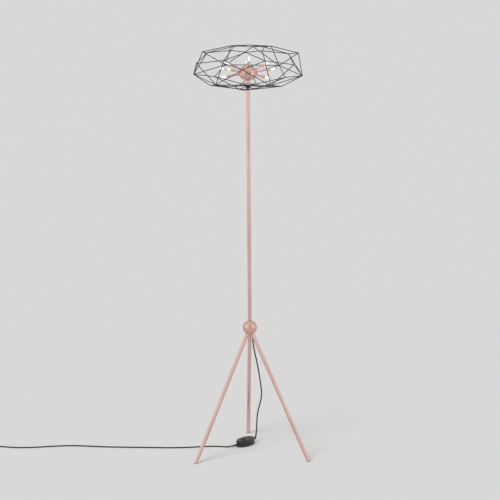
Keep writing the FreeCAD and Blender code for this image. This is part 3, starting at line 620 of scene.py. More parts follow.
def coil_way(turns):
    """The direction of the lead at a point of the coil."""
    step = 0.01
    return (coil_point(min(turns + step, coil_total)) - coil_point(max(turns - step, 0))).normalized()


coil_steps = round(coil_total * points_a_turn)
coil_scale = 1 / math.cos(math.pi / points_a_turn)
coil_points = [coil_point(coil_total * i / coil_steps, coil_scale) for i in range(1, coil_steps)]
print("points of the coil", len(coil_points))

# %% The route on the floor
run_out_of_boot = 22.0
lying_height = 0.0029
floor_route = [
    (-0.110, 0.069), (-0.150, 0.077), (-0.196, 0.075), (-0.262, 0.064), (-0.334, 0.060),
    (-0.407, 0.066), (-0.480, 0.070), (-0.552, 0.075), (-0.622, 0.081), (-0.691, 0.094),
    (-0.760, 0.102), (-0.830, 0.095), (-0.899, 0.082), (-0.968, 0.077), (-1.030, 0.089),
    (-1.079, 0.107),
]
coil_start = coil_point(0)
coil_end = coil_point(coil_total)
coil_end_way = coil_way(coil_total)
plug_way = Vector((0.24, 0.97, 0)).normalized()
plug_step = Vector((6, 45, 0)) * MM
plug_start = coil_end + coil_end_way * cord_diameter + plug_step
plug_start.z = 7.2 * MM
straight = 15 * MM

floor_points = [at(*boot_out_end), at(*(boot_out_end + boot_out_way * run_out_of_boot))]
floor_points += [axis + Vector((x, y, lying_height)) for x, y in floor_route]
floor_points += [coil_start - coil_way(0) * (5 * cord_diameter), coil_start - coil_way(0) * cord_diameter]
floor_points += coil_points
floor_points += [coil_end + coil_end_way * (cord_diameter + run) for run in (0, straight)]
floor_points += [plug_start - plug_way * straight, plug_start]
print("points on the floor", len(floor_points))

# %% [markdown]
# A boot is the soft rubber taper that keeps the lead from kinking where it enters the unit. Real
# ones have grooves round them, so that they bend. A row of rings along the boot's bent middle
# line, with a radius that dips at each groove, is simpler than cutting them.

# %% Boots
boot_big = 5.0
boot_small = 3.6
boot_edge = 0.5
boot_edge_run = 0.8
boot_steps = 90
groove_start = 0.12
groove_stretch = 0.72
groove_count = 5
groove_depth = 0.7


def dip(count):
    """0 on the lands between grooves and 1 in them, after this many grooves."""
    return min(max(0.5 - math.cos(2 * math.pi * count), 0), 1)


def drawn_in(left, depth, run):
    """How far a soft end is drawn in, with this much left to go."""
    return depth * max(0, 1 - left / run) ** 2


def boot_radius(share):
    """The taper, with its grooves in the middle stretch."""
    taper = boot_big + (boot_small - boot_big) * share
    inside = (share - groove_start) / groove_stretch
    grooved = groove_depth * dip(groove_count * inside) if 0 < inside < 1 else 0
    return taper - grooved - drawn_in((1 - share) * boot_length, boot_edge, boot_edge_run)


def boot_ring(side, share):
    point, way = boot_frame(side, share)
    turn = UP.rotation_difference(way).to_matrix()
    return [at(*point) + turn @ step for step in ring(0, boot_radius(share), sides=32)]


def boot_piece(side, name, node):
    rings = [boot_ring(side, step / boot_steps) for step in range(boot_steps + 1)]
    return piece(name, placed(lofted(rings)), rubber, [node])


boot_in = boot_piece(1, "boot_of_drop", "boot_in")
boot_out = boot_piece(-1, "boot_of_lead", "boot_out")

# %% [markdown]
# The plug is a flat moulded one. Its body is a loft through stadium-shaped rings: a narrow
# ribbed neck at the lead that widens smoothly to the face.

# %% The plug
plug_neck = 20.0
plug_length = 36.0
plug_tail = (8.0, 7.4)
plug_waist = (16.0, 11.5)
plug_face = (26.0, 14.0)
plug_edge = 1.4
rib_pitch = 3.6
rib_depth = 0.5
rib_first = 1.0
rib_last = 17.0
wide_share = 0.55
thick_share = 0.4
ring_pitch = 0.4
plug_turn = Matrix.Rotation(math.atan2(-plug_way.x, plug_way.y), 4, "Z")
plug_place = Matrix.Translation(plug_start) @ plug_turn @ Matrix.Rotation(math.radians(-90), 4, "X")


def stadium(width, thickness, height):
    """A ring with two flat sides and two round ends."""
    half = thickness / 2
    end = arc(half, half, -math.pi / 2, math.pi / 2, 12, (max(width / 2 - half, 0), 0))
    return [Vector((side * x, side * y, height)) * MM for side in (1, -1) for x, y in end]


def eased(share):
    share = min(share, 1)
    return share * share * (3 - 2 * share)


def plug_ring(height):
    """The plug's outline some way up from the lead."""
    if height < plug_neck:
        low, high = plug_tail, plug_waist
        shares = [eased(height / plug_neck)] * 2
        less = rib_depth * dip(height / rib_pitch) if rib_first < height < rib_last else 0
    else:
        low, high = plug_waist, plug_face
        share = (height - plug_neck) / plug_length
        shares = [eased(share / wide_share), eased(share / thick_share)]
        less = drawn_in((1 - share) * plug_length, plug_edge, plug_edge)
    width, thickness = [a + (b - a) * share - less for a, b, share in zip(low, high, shares)]
    return stadium(width, thickness, height)


plug_steps = round((plug_neck + plug_length) / ring_pitch)
plug_bm = placed(lofted([plug_ring(n * ring_pitch) for n in range(plug_steps + 1)]), plug_place)
plug = piece("plug_moulding", plug_bm, unit_plastic, ["plug_body"])

# %% [markdown]
# The plug has two round pins. Each has a black sleeve next to the face, so that nobody touches
# live metal, and a rounded tip. Pins and sleeves are both solid bars off the lathe, the sleeve a
# hair thicker than the pin that runs through it.

# %% The plug's pins
pin_radius = 2.0
pin_length = 19.0
pin_tip = 1.4
pin_spacing = 18.6
sleeve_length = 9.5
sleeve_proud = 0.03
sleeve_sunk = 0.5


def plug_bars(radius, low, high, tip):
    """Two round bars out of the plug's face."""
    face = plug_neck + plug_length
    places = [plug_place @ Matrix.Translation((side * pin_spacing / 2 * MM, 0, 0)) for side in (-1, 1)]
    return gathered([placed(rod(radius, face + low, face + high, tip, 32, 8), place) for place in places])


pins = piece("plug_pin_metal", plug_bars(pin_radius, 0, pin_length, pin_tip), nickel, ["plug_pins"])
sleeve_bars = plug_bars(pin_radius + sleeve_proud, -sleeve_sunk, sleeve_length, 0.1)
sleeves = piece("plug_pin_sleeves", sleeve_bars, unit_plastic)

# %% [markdown]
# A black bush lines the lead's hole under the ball: a short sleeve with a rounded flange that
# keeps the lead off the metal edge. One closed profile gives bore, flange and soft edges at once.

# %% The bush
bush_bore = 2.85
bush_sleeve = 3.65
bush_flange = 4.85
bush_length = 15.0
bush_profile = [(bush_bore, 0), (bush_flange, 0), (bush_flange, 1.6), (bush_sleeve, 2.6),
                (bush_sleeve, bush_length), (bush_bore, bush_length)]
bush_bm = placed(turned(bush_profile, 48, soft=0.5), upright(bush))
bush_piece = piece("rubber_bush", bush_bm, rubber, ["cord_grommet"])

# %% [markdown]
# The tie is a flat black strap round the coil's strands. Seen along the lead it is a rectangle
# with soft corners. Four such outlines, two inside and two outside, close up into a strap.

# %% The tie round the coil
tie_turn = Matrix.Rotation(math.radians(40), 4, "Z")
tie_width = 4.0
tie_inner_width = 3.2
tie_thickness = 1.0
tie_corner = 1.6
tie_slack = 0.5


def tie_strap():
    reach = cord_diameter / MM / 2 + tie_slack
    inside = coil_radius - coil_step * (coil_turns_in + coil_climb / 2) - reach
    outside = coil_radius + reach
    low = coil_low - reach
    high = coil_low + coil_step + reach
    rings = []
    for grow, width in ((0, -tie_inner_width), (0, tie_inner_width), (tie_thickness, tie_width),
                        (tie_thickness, -tie_width)):
        corners = [(inside - grow, low - grow), (outside + grow, low - grow),
                   (outside + grow, high + grow), (inside - grow, high + grow)]
        outline = rounded(corners, tie_corner + grow, steps=6)
        rings.append([Vector((p.x, width / 2, p.y)) * MM for p in outline])
    strap = lofted(rings, closed=True, capped=False)
    return placed(strap, Matrix.Translation(at(*coil_centre, 0)) @ tie_turn)


tie = piece("coil_tie", tie_strap(), rubber, ["cord_tie"])


# %% The two stretches of lead
def lead_piece(name, points, length, nodes):
    """One free stretch: a smooth spline with the route's points as its control points."""
    curve = bpy.data.curves.new(name, "CURVE")
    curve.dimensions = "3D"
    curve.bevel_depth = cord_diameter / 2
    curve.bevel_resolution = 5
    curve.resolution_u = 8
    curve.use_fill_caps = True
    spline = curve.splines.new("NURBS")
    spline.points.add(len(points) - 1)
    for control, point in zip(spline.points, points):
        control.co = (*point, 1)
    spline.order_u = 3
    spline.use_endpoint_u = True
    curve.materials.append(cord_sheath)
    made = linked(name, curve)
    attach(made, "lamp")
    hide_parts(*nodes)
    print(name, "guided by", len(points), "points,", length, "m long")


lead_piece("lead_drop", drop_points, 0.515, ["cord_drop"])
lead_piece("lead_on_floor", floor_points, 1.735,
           ["cord_floor", "cord_coil", "cord_lead"])

# %% [markdown]
# The pole and the legs are plain copper tubes of one diameter. A leg's foot isn't square: it is
# cut level, so that it stands flat on its thin rubber foot. The tube is turned on the lathe
# square, and then its lower end is sheared along the leg until its rim lies level.

# %% Pole and legs
tube_radius = 8.0
tube_bore = 7.0
tube_rim = 0.35
hub_height = 543.0
hub_radius = 30.0
foot_circle = 270.0
rear_leg_turn = 92.2
leg_seat = 21.8
foot_level = 1.5
pole_seat = 20.0
pole_top = 1556.0
leg_tilt = math.atan2(foot_circle, hub_height)
leg_reach = math.hypot(foot_circle, hub_height)


def tube(outer, inner, length, edge=tube_rim, sides=64):
    """An upright tube with soft rims."""
    return turned([(inner, 0), (outer, 0), (outer, length), (inner, length)], sides, edge)


def leg_way(number):
    turn = math.radians(rear_leg_turn + 120 * number)
    flat = math.sin(leg_tilt)
    return Vector((flat * math.cos(turn), flat * math.sin(turn), -math.cos(leg_tilt)))


def leg_tube(number):
    way = leg_way(number)
    length = leg_reach - leg_seat - foot_level / math.cos(leg_tilt)
    bm = tube(tube_radius, tube_bore, length)
    turn = upright(Vector(), way)
    for vertex in bm.verts:
        if vertex.co.z > length * MM / 2:
            across = turn @ Vector((vertex.co.x, vertex.co.y, 0))
            vertex.co.z -= across.z / way.z
    return placed(bm, upright(at(*(Vector((0, 0, hub_height)) + way * leg_seat)), way))


for number, name in enumerate(("rear", "left", "right")):
    piece("copper_leg_" + name, leg_tube(number), copper_tube, ["leg_" + name])
pole_foot = hub_height + pole_seat
pole_tube = placed(tube(tube_radius, tube_bore, pole_top - pole_foot), upright(at(0, 0, pole_foot)))
piece("copper_pole", pole_tube, copper_tube, ["pole"])
print("pole", round(pole_top - pole_foot), "mm and three legs of", round(leg_reach), "mm")

# %% [markdown]
# The balls are buffed copper with holes drilled in them. A boolean cut leaves long thin faces on
# a ball, and they would spoil a mirror finish. The cure is to set the normals by hand
# afterwards: every corner that lies on the ball gets the direction that the ball's rule gives
# there, so the reflections are those of a true ball. Each drill has a flared end, which leaves a
# fine bright bevel round the hole.

# %% Drilled balls
bevel = 0.35
clearance = 0.1
ball_tolerance = 0.02 * MM


def drill(place, radius, start, end, surface):
    """A drill from one distance to another along Z, flared where it breaks the surface."""
    flare = radius + bevel * 2
    bm = turned([(0, start), (radius, start), (radius, surface - bevel), (flare, surface + bevel),
                 (flare, end), (0, end)], closed=False)
    bm.transform(place)
    return bm


def drilled(bm, drills):
    """The shape with each drill's shape cut out of it, as a mesh."""
    body = linked("blank", mesh_of(bm, "blank"))
    tools = [linked("drill", mesh_of(tool, "drill")) for tool in drills]
    for tool in tools:
        cut = body.modifiers.new("cut", "BOOLEAN")
        cut.operation = "DIFFERENCE"
        cut.solver = "EXACT"
        cut.object = tool
    graph = bpy.context.evaluated_depsgraph_get()
    mesh = bpy.data.meshes.new_from_object(body.evaluated_get(graph))
    for thing in [body] + tools:
        bpy.data.objects.remove(thing)
    return mesh


def true_ball(mesh, centre, radius, shape=Vector((1, 1, 1))):
    """Smooth shading whose normals on the ball, round or pressed flat, follow its own rule."""
    squeeze = Vector([1 / part for part in shape])
    bm = bmesh.new()
    bm.from_mesh(mesh)
    smoothed(bm, 25).to_mesh(mesh)
    bm.free()
    on_ball = [abs(((v.co - centre) * squeeze).length - radius) < ball_tolerance for v in mesh.vertices]
    normals = [Vector(corner.vector) for corner in mesh.corner_normals]
    for face in mesh.polygons:
        if all(on_ball[v] for v in face.vertices):
            for loop in face.loop_indices:
                step = mesh.vertices[mesh.loops[loop].vertex_index].co - centre
                normals[loop] = (step * squeeze * squeeze).normalized()
    mesh.normals_split_custom_set(normals)
    return mesh


print("drills ready, bevel", bevel, "mm")

# %% [markdown]
# The hub ball is drilled for the three legs, the pole and the lead. The lead's hole goes
# straight down, off the middle, so it breaks out where the ball already curves up.

# %% The hub ball
lead_hole = 3.75
lead_hole_out = 16.0


def hub_ball():
    bm = bmesh.new()
    bmesh.ops.create_uvsphere(bm, u_segments=128, v_segments=80, radius=hub_radius * MM)
    centre = at(0, 0, hub_height)
    end = hub_radius * 2
    surface = math.sqrt(hub_radius ** 2 - tube_radius ** 2)
    drills = [drill(upright(centre, way), tube_radius + clearance, leg_seat, end, surface)
              for way in [leg_way(n) for n in range(3)] + [UP]]
    down = Matrix.Translation((bush.x, bush.y, centre.z)) @ Matrix.Rotation(math.pi, 4, "X")
    drills.append(drill(down, lead_hole, 0, end, math.sqrt(hub_radius ** 2 - lead_hole_out ** 2)))
    return true_ball(drilled(placed(bm, Matrix.Translation(centre)), drills), centre, hub_radius * MM)


dressed("copper_hub_ball", hub_ball(), copper_ball, ["hub_ball"])

# %% [markdown]
# Over the pole sits a stack: a black collar, the cage's six-sided plate, a black washer and a
# copper neck. A threaded rod inside pulls it all together. Only the outsides show, so each is
# a solid disc with soft edges.

# %% The stack under the burst ball
plate_bottom = 1564.5
wire_radius = 1.6
washer_radius = 8.5
neck_radius = 9.25
neck_bottom = 1572.5
neck_length = 17.3
neck_top = neck_bottom + neck_length


def disc(radius, low, high, soft):
    return placed(rod(radius, low, high, soft), Matrix.Translation(axis))


piece("black_collar", disc(washer_radius, pole_top, plate_bottom, 0.8), fitting_coat,
      ["cage_collar"])
piece("black_washer", disc(washer_radius, plate_bottom + 2 * wire_radius, neck_bottom, 1.0), fitting_coat,
      ["cage_washer"])
piece("copper_neck", disc(neck_radius, neck_bottom, neck_top, 0.6), copper_tube, ["neck_sleeve"])
print("neck", neck_length, "mm long")

# %% [markdown]
# The burst ball is wider than it is high: two buffed halves, pressed a little flat, with a lip
# between them, drilled for eleven short arms. The halves are turned with a soft edge, which
# leaves the fine dark line of a real seam. Their normals come from the oval's own rule. An arm
# is its turn round from the viewer, its rise, both in degrees, and its bulb's distance.

# %% The arms' directions and the ball's sizes
arms = [
    (90, 84.5, 59),
    (-120, 18, 98), (118, 18, 93),
    (-62, 15, 93), (73, 12, 110),
    (-92, 10, 107), (-12, 10, 100),
    (12, 9, 100), (-175.5, 13, 93),
    (-97, -11, 100), (77, -12, 84),
]
arm_ways = [(heading(turn, rise), reach) for turn, rise, reach in arms]
arm_radius = 4.0
ball_radius = 39.5
ball_rise = 31.0
ball_wall = 3.0
ball_height = neck_top + ball_rise * math.sqrt(1 - (neck_radius / ball_radius) ** 2)
ball_centre = at(0, 0, ball_height)
print("arms", len(arms), "ball's middle", round(ball_height, 1), "mm up")

# %% The burst ball
ball_shape = Vector((1, 1, ball_rise / ball_radius))
seam = 0.12
seam_edge = 0.3
seam_mouth = 0.4
seam_inset = 0.02
near_seam = 0.3
drill_run = 12.0
drill_sink = 0.25


def ball_reach(way, inset=0.0):
    """How far the ball's surface is from its centre in a direction."""
    flat = (way.x ** 2 + way.y ** 2) / (ball_radius - inset) ** 2
    return 1 / math.sqrt(flat + way.z ** 2 / (ball_rise - inset) ** 2)


def ball_half(side):
    """One half of the ball, drilled: side is 1 for the upper half and -1 for the lower one."""
    inner = ball_radius - ball_wall
    inner_rise = ball_rise - ball_wall
    outside = arc(ball_radius, side * ball_rise, math.asin(seam_mouth / ball_rise), math.pi / 2, 48)
    inside = arc(inner, side * inner_rise, math.pi / 2, 0, 16)
    lip = [(inner, side * seam), (ball_radius - seam_inset, side * seam), outside[0]]
    profile = rounded(lip, seam_edge, closed=False) + outside[1:-1]
    profile += [(0, side * ball_rise), (0, side * inner_rise)] + inside[1:-1]
    drills = []
    for way, _ in arm_ways:
        if side * way.z > -near_seam:
            surface = ball_reach(way)
            drills.append(drill(upright(ball_centre, way), arm_radius + clearance, surface - drill_run,
                                surface + drill_run, surface - drill_sink))
    mesh = drilled(placed(turned(profile, 128), Matrix.Translation(ball_centre)), drills)
    return true_ball(mesh, ball_centre, ball_radius * MM, ball_shape)


for name, side in (("upper", 1), ("lower", -1)):
    dressed("copper_ball_" + name, ball_half(side), copper_ball, ["burst_ball_" + name])

# %% [markdown]
# Each arm ends in a small cup that holds a ceramic socket. The cup tapers up from the arm and
# has a rolled lip, as a spun metal cup has. Both are turned upright and then set on the arm's
# line. All eleven of a kind are one piece, because they share one node of the frame.

# %% Arms and cups
arm_wall = 0.8
arm_inside = 1.0
cup_radius = 6.0
cup_length = 14.0
cup_wall = 0.7
cup_seat = 2.6
cup_lip = 0.25
bulb_seat = 1.0


def cup_base(reach):
    """How far from the ball's centre a cup starts, when its bulb's middle is that far out."""
    return reach - capsule_length / 2 + bulb_seat - cup_length


def on_arm(bm, way, distance):
    """The shape set on an arm's line, this far from the ball's centre."""
    return placed(bm, upright(ball_centre + way * (distance * MM), way))


def arm_part(way, reach):
    start = ball_reach(way, ball_wall) - arm_inside
    length = cup_base(reach) + cup_seat - start
    return on_arm(tube(arm_radius, arm_radius - arm_wall, length, 0.2, 48), way, start)


def cup_part(way, reach):
    bore = arm_radius + 0.05
    lip = cup_radius + cup_lip
    inner = cup_radius - cup_wall
    profile = [(bore, 0), (arm_radius + cup_wall, 0), (cup_radius, cup_seat), (cup_radius, cup_length - 1.3),
               (lip, cup_length - 1.0), (lip, cup_length), (inner, cup_length), (inner, cup_seat),
               (bore, cup_seat)]
    return on_arm(turned(profile, 48, soft=0.35), way, cup_base(reach))


for name, part, node in (("copper_arms", arm_part, "burst_arms"), ("copper_cups", cup_part, "lamp_holders")):
    piece(name, gathered([part(*arm) for arm in arm_ways]), copper_tube, [node])

# %% [markdown]
# A capsule is a flat foot, a straight body, a domed end and the nib where it was sealed: one
# open profile from tip to tip. Each bulb can be pulled out, so each is a piece of its own.

# %% Bulbs
bulb_radius = 4.5
bulb_foot_radius = 3.6
bulb_foot_height = 3.0
bulb_shoulder = 4.6


def capsule(way, reach):
    """One bulb. The point over its shoulder is there only to soften the shoulder."""
    foot = [(0, 0), (bulb_foot_radius, 0), (bulb_foot_radius, bulb_foot_height), (bulb_radius, bulb_shoulder)]
    foot = rounded(foot + [(bulb_radius, bulb_shoulder + 3.4)], 0.8, closed=False)[:-1]
    dome = arc(bulb_radius, bulb_radius, 0, math.pi / 2, 14, (0, capsule_length - bulb_radius))[:-2]
    nib = [(0.55, capsule_length), (0.4, capsule_length + 0.7), (0, capsule_length + 0.9)]
    return on_arm(turned(foot + dome + nib, 48, closed=False), way, cup_base(reach) + cup_length - bulb_seat)


for number, arm in enumerate(arm_ways, 1):
    piece("capsule_%02d" % number, capsule(*arm), bulb_glow, ["bulb_%02d" % number])

# %% [markdown]
# The cage is a welded net of straight wires on six-sided rings, each ring turned by half a side
# from the next. Its shape follows a rule, so Geometry Nodes make it. The script hands over the
# bare edges: a ring is its radius, its height and its turn, and a run of wires joins each corner
# of one ring to the corners some steps on in another. The last ring is where the spokes end.

# %% The cage's wires as bare edges
cage_sides = 6
cage_turn = -5.5
half_side = 180 / cage_sides
plate_half = 12.0
cage_rings = {
    "top": (73.0, 1720.5, 0.0),
    "crown": (166.0, 1701.5, half_side),
    "shoulder": (228.0, 1681.0, 0.0),
    "wide": (222.0, 1611.0, half_side),
    "belly": (168.0, 1584.5, 0.0),
    "hub": (58.0, 1563.0, half_side),
    "plate": (plate_half, plate_bottom + wire_radius, half_side),
}
wire_runs = [
    ("top", "top", [1]), ("crown", "top", [0, 1]), ("crown", "shoulder", [0, 1]), ("crown", "wide", [0]),
    ("wide", "shoulder", [0, 1]), ("wide", "wide", [1]), ("wide", "belly", [0, 1]), ("hub", "belly", [0, 1]),
    ("hub", "hub", [1]), ("hub", "plate", [0]),
]


def cage_corner(level, number):
    radius, height, turn = cage_rings[level]
    flat = heading(cage_turn + turn + 360 / cage_sides * number) * radius
    return at(flat.x, flat.y, height)


def cage_edges():
    """Each wire as an edge of its own."""
    mesh = bpy.data.meshes.new("cage_edges")
    ends = []
    for first, second, steps in wire_runs:
        for number in range(cage_sides):
            for step in steps:
                ends += [cage_corner(first, number), cage_corner(second, number + step)]
    mesh.from_pydata(ends, [(i, i + 1) for i in range(0, len(ends), 2)], [])
    return mesh


bare_cage = cage_edges()
print("wires", len(bare_cage.edges))

# %% [markdown]
# The tree does the metalwork: every edge becomes a round wire, and every point where wires meet
# gets a small weld. The welds are lumpy: a noise pushes their skin in and out. A tree has named
# inputs for its sizes, and its result is turned into a plain mesh before it becomes a piece.

# %% Geometry trees
class GeometryTree(Graph):
    """A geometry node tree with named inputs for its sizes."""

    def __init__(self, name, sizes):
        super().__init__(bpy.data.node_groups.new(name, "GeometryNodeTree"))
        for side in ("OUTPUT", "INPUT"):
            self.tree.interface.new_socket("Geometry", in_out=side, socket_type="NodeSocketGeometry")
        for size in sizes:
            self.tree.interface.new_socket(size, in_out="INPUT", socket_type="NodeSocketFloat")
        self.inputs = self.tree.nodes.new("NodeGroupInput")

    def given(self, name):
        return Value(self, self.inputs.outputs[name])

    def finished(self, geometry, material):
        """Realize what is instanced, set the material and close the tree."""
        real = self.node("GeometryNodeRealizeInstances", {"Geometry": geometry})
        smooth = self.node("GeometryNodeSetShadeSmooth", {"Geometry": real})
        coated = self.node("GeometryNodeSetMaterial", {"Geometry": smooth, "Material": material})
        self.node("NodeGroupOutput", {"Geometry": coated})
        return self.tree


def grown(name, mesh, tree, sizes):
    """The mesh that a geometry tree makes of another mesh, with its sizes set by name."""
    carrier = linked(name, mesh)
    modifier = carrier.modifiers.new(name, "NODES")
    modifier.node_group = tree
    for item in tree.interface.items_tree:
        if item.in_out == "INPUT" and item.name in sizes:
            modifier[item.identifier] = sizes[item.name]
    graph = bpy.context.evaluated_depsgraph_get()
    made = bpy.data.meshes.new_from_object(carrier.evaluated_get(graph))
    carrier.modifiers.clear()
    bpy.data.objects.remove(carrier)
    return made


print("geometry trees ready")

# %% The cage
cage_sizes = {"Wire Radius": wire_radius * MM, "Weld Radius": 2.1 * MM, "Lumps": 0.35 * MM}
cage_nodes = ["cage_top_ring", "cage_crown_wires", "cage_side_wires", "cage_wide_ring", "cage_belly_wires",
              "cage_floor_wires", "cage_hub_ring", "cage_spokes"]


def cage_tree():
    tree = GeometryTree("cage_wires", cage_sizes)
    edges = tree.given("Geometry")
    wires = tree.node("GeometryNodeMeshToCurve", {"Mesh": edges})
    section = tree.node("GeometryNodeCurvePrimitiveCircle",
                        {"Resolution": 20, "Radius": tree.given("Wire Radius")})
    bars = tree.node("GeometryNodeCurveToMesh", {"Curve": wires, "Profile Curve": section, "Fill Caps": True})
    corners = tree.node("GeometryNodeMergeByDistance", {"Geometry": edges, "Distance": 0.2 * MM})
    blob = tree.node("GeometryNodeMeshIcoSphere", {"Radius": tree.given("Weld Radius"), "Subdivisions": 4})
    welds = tree.node("GeometryNodeInstanceOnPoints", {"Points": corners, "Instance": blob})
    welds = tree.node("GeometryNodeRealizeInstances", {"Geometry": welds})
    lumps = tree.node("ShaderNodeTexNoise", {"Scale": 420.0, "Detail": 1.0}, "Fac")
    push = (lumps - 0.5) * tree.given("Lumps") * 2
    outward = tree.node("GeometryNodeInputNormal")
    offset = tree.node("ShaderNodeVectorMath", {0: outward, "Scale": push}, operation="SCALE")
    welds = tree.node("GeometryNodeSetPosition", {"Geometry": welds, "Offset": offset})
    both = tree.node("GeometryNodeJoinGeometry", {"Geometry": [bars, welds]})
    return tree.finished(both, wire_coat)


cage_mesh = grown("cage", bare_cage, cage_tree(), cage_sizes)
dressed("wire_cage", cage_mesh, wire_coat, cage_nodes)

# %% The cage's plate
plate_edge = 0.4
plate_thickness = 2 * wire_radius


def hexagon(reach, height):
    """A six-sided outline whose flat sides face the spokes, this far from the middle."""
    turn = math.radians(cage_turn + 2 * half_side - 90)
    return ring(height, reach / math.cos(math.pi / cage_sides), sides=cage_sides, turn=turn)


plate_levels = [(plate_half - plate_edge, 0), (plate_half, plate_edge),
                (plate_half, plate_thickness - plate_edge), (plate_half - plate_edge, plate_thickness)]
plate_bm = lofted([hexagon(reach, plate_bottom + height) for reach, height in plate_levels])
piece("cage_plate", placed(plate_bm, Matrix.Translation(axis)), wire_coat, ["cage_hub_plate"])

# %% [markdown]
# The foot unit is a smooth black oval that holds the dimmer. It is two shells, and the fine
# groove between them is what tells the eye that it is a moulded box. Rings of an ellipse, each
# drawn in a little and set at its height, make the rounded shells. The top face runs from the
# ellipse to the round rim of the button's hole.

# %% The foot unit's shells
unit_half_width = 28.0
unit_split = 12.0
unit_height = 28.0
unit_round = 6.0
pad_height = 1.5
button_offset = -12.0
button_radius = 10.0
oval_sides = 128
unit_place = Matrix.Translation(at(*unit_centre)) @ Matrix.Rotation(unit_turn, 4, "Z")
groove_lip = [(2.0, 0.15), (0.5, 0.15), (0.15, 0.3), (0, 0.7)]


def unit_shell(levels, more=()):
    """A shell through ovals, each drawn in by an inset at a height, and through more rings."""
    ovals = [ring(height, unit_half_length - inset, unit_half_width - inset, oval_sides)
             for inset, height in levels]
    return placed(lofted([*ovals, *more]), unit_place)


def unit_cover():
    lip = [(inset, unit_split + step) for inset, step in groove_lip]
    bend = arc(-unit_round, unit_round, 0, math.pi / 2, 16, (unit_round, unit_height - unit_round))
    hole = [(1.0, 0), (0.5, -0.15), (0.3, -0.5), (0.3, -4.0), (3.0, -4.0)]
    rim = [ring(unit_height + drop, button_radius + gap, sides=oval_sides, shift=button_offset)
           for gap, drop in hole]
    return unit_shell(lip + bend, rim)


def unit_base():
    foot = [(4.0, 0), (1.6, 0), (0.7, 0.35), (0.2, 1.0), (0, 2.0)]
    return unit_shell([(inset, pad_height + step) for inset, step in foot]
                      + [(inset, unit_split - step) for inset, step in reversed(groove_lip)])


piece("unit_cover_shell", unit_cover(), unit_plastic, ["unit_cover"])
piece("unit_base_shell", unit_base(), unit_plastic, ["unit_base"])

# %% [markdown]
# The button is a round cap with a hollow top for the finger. A flange under the cover keeps it
# from falling out. It is turned as one profile, and rides on a body of its own.

# %% The button
button_top = unit_height + 3.5
flange_top = unit_height - 2.3
flange_bottom = unit_height - 3.8
flange_radius = button_radius + 1.5


def push_button():
    profile = [(0, button_top - 0.9), (button_radius * 0.35, button_top - 0.82),
               (button_radius * 0.7, button_top - 0.45), (button_radius - 1.6, button_top - 0.05),
               (button_radius - 0.7, button_top - 0.15), (button_radius - 0.15, button_top - 0.8),
               (button_radius, button_top - 1.7), (button_radius, flange_top), (flange_radius, flange_top),
               (flange_radius, flange_bottom), (0, flange_bottom)]
    place = unit_place @ Matrix.Translation((button_offset * MM, 0, 0))
    return placed(turned(profile, 96, soft=0.6, closed=False), place)


piece("push_button", push_button(), button_plastic, ["unit_button"], body="button")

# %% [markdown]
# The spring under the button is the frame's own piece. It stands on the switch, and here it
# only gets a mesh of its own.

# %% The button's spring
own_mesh(frame["nodes"]["unit_spring"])

# %% [markdown]
# What is left are the frame's own pieces: feet, studs, plugs, sockets, the board and the rest.
# Their shape is right, so they stay, and only get the finish of their slot in the record.

# %% Finishes of the frame's own pieces
slot_of = {part["node"]: part["material_slot"] for part in frame["record"]["subparts"]}
staying = {name: node for name, node in frame["nodes"].items() if not node.hide_render}
for name, node in staying.items():
    node.data.materials.clear()
    node.data.materials.append(inner_finishes.get(slot_of[name], fitting_coat))
print("frame pieces that stay", len(staying))

# %% [markdown]
# The studio is a plain pale floor that runs out of the picture and a world of the same tone, so
# the ground looks even from all sides. The floor's paint takes a shadow. To the eye, a share of
# it glows by itself, because without that it would look darker and less even than the world.

# %% Floor and world
floor_reach = 60
glow_share = 0.3
world_light = 0.7
backdrop_tone = colour(0.71, 0.71, 0.705)


def seen_by_eye(graph):
    """1 for what the camera sees straight, in a mirror or through glass, and 0 for light itself."""
    rays = graph.tree.nodes.new("ShaderNodeLightPath")
    camera_ray, glossy_ray, glass_ray = [Value(graph, rays.outputs["Is %s Ray" % kind])
                                         for kind in ("Camera", "Glossy", "Transmission")]
    return camera_ray + glossy_ray + glass_ray


def floor_paint():
    made = Finish("floor_paint")
    paint = made.node("ShaderNodeBsdfDiffuse", {"Color": backdrop_tone})
    even = made.node("ShaderNodeEmission", {"Color": backdrop_tone, "Strength": 1.0})
    both = made.node("ShaderNodeMixShader", {0: seen_by_eye(made) * glow_share, 1: paint, 2: even})
    made.node("ShaderNodeOutputMaterial", {"Surface": both})
    return made.material


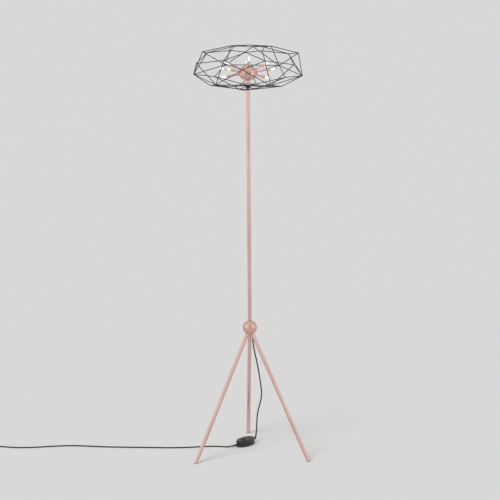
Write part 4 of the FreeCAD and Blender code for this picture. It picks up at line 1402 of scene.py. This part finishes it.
floor_mesh = bpy.data.meshes.new("floor")
floor_corners = [(x * floor_reach, y * floor_reach, 0) for x, y in ((-1, -1), (1, -1), (1, 1), (-1, 1))]
floor_mesh.from_pydata(floor_corners, [], [(0, 1, 2, 3)])
floor_mesh.materials.append(floor_paint())
linked("floor", floor_mesh)

world = bpy.data.worlds.new("world")
bpy.context.scene.world = world
world.use_nodes = True
sky = Graph(world.node_tree)
sky.tree.nodes.clear()
strength = sky.node("ShaderNodeMapRange", {"Value": seen_by_eye(sky), "To Min": world_light, "To Max": 1.0})
backdrop = sky.node("ShaderNodeBackground", {"Color": backdrop_tone, "Strength": strength})
sky.node("ShaderNodeOutputWorld", {"Surface": backdrop})
print("floor", 2 * floor_reach, "m wide")

# %% [markdown]
# A wide sun from the front left gives the level and one soft shadow. Three broad sheets of light
# are there for the shine alone: the photo's balls show a bright area on each side that meet over
# the top, with a darker line between them.

# %% Lights
box_distance = 3.6
box_width = 6.0
box_tall = 6.3
box_middle = Vector((0, 0, 3.25))
top_middle = Vector((0, 0.4, 0))
top_height = 6.6


def lamp(name, kind, place, target, energy, **settings):
    """A lamp that looks at a point."""
    data = bpy.data.lights.new(name, kind)
    data.energy = energy
    for key, value in settings.items():
        setattr(data, key, value)
    made = linked(name, data)
    made.location = axis + Vector(place)
    made.rotation_mode = "QUATERNION"
    made.rotation_quaternion = (axis + Vector(target) - made.location).to_track_quat("-Z", "Y")
    made.visible_camera = False
    return made


def soft_box(name, place, target, width, tall, brightness):
    """A sheet of light for the shine alone: a mirror shows it this much paler than the backdrop."""
    sheet = lamp(name, "AREA", place, target, brightness * math.pi * width * tall,
                 shape="RECTANGLE", size=width, size_y=tall)
    sheet.visible_diffuse = False


sun = lamp("sun", "SUN", (-2.5, -3.5, 5.0), (0, 0, 0.8), 2.1, angle=math.radians(30))
sun.visible_glossy = False
soft_box("left_box", heading(-62) * box_distance + box_middle, box_middle, box_width, box_tall, 0.32)
soft_box("right_box", heading(66) * box_distance + box_middle, box_middle, box_width, box_tall, 0.28)
soft_box("top_box", top_middle + UP * top_height, top_middle, box_width, box_width, 0.22)
bpy.context.scene.view_settings.view_transform = "Standard"
print("lamps", len(bpy.data.lights))
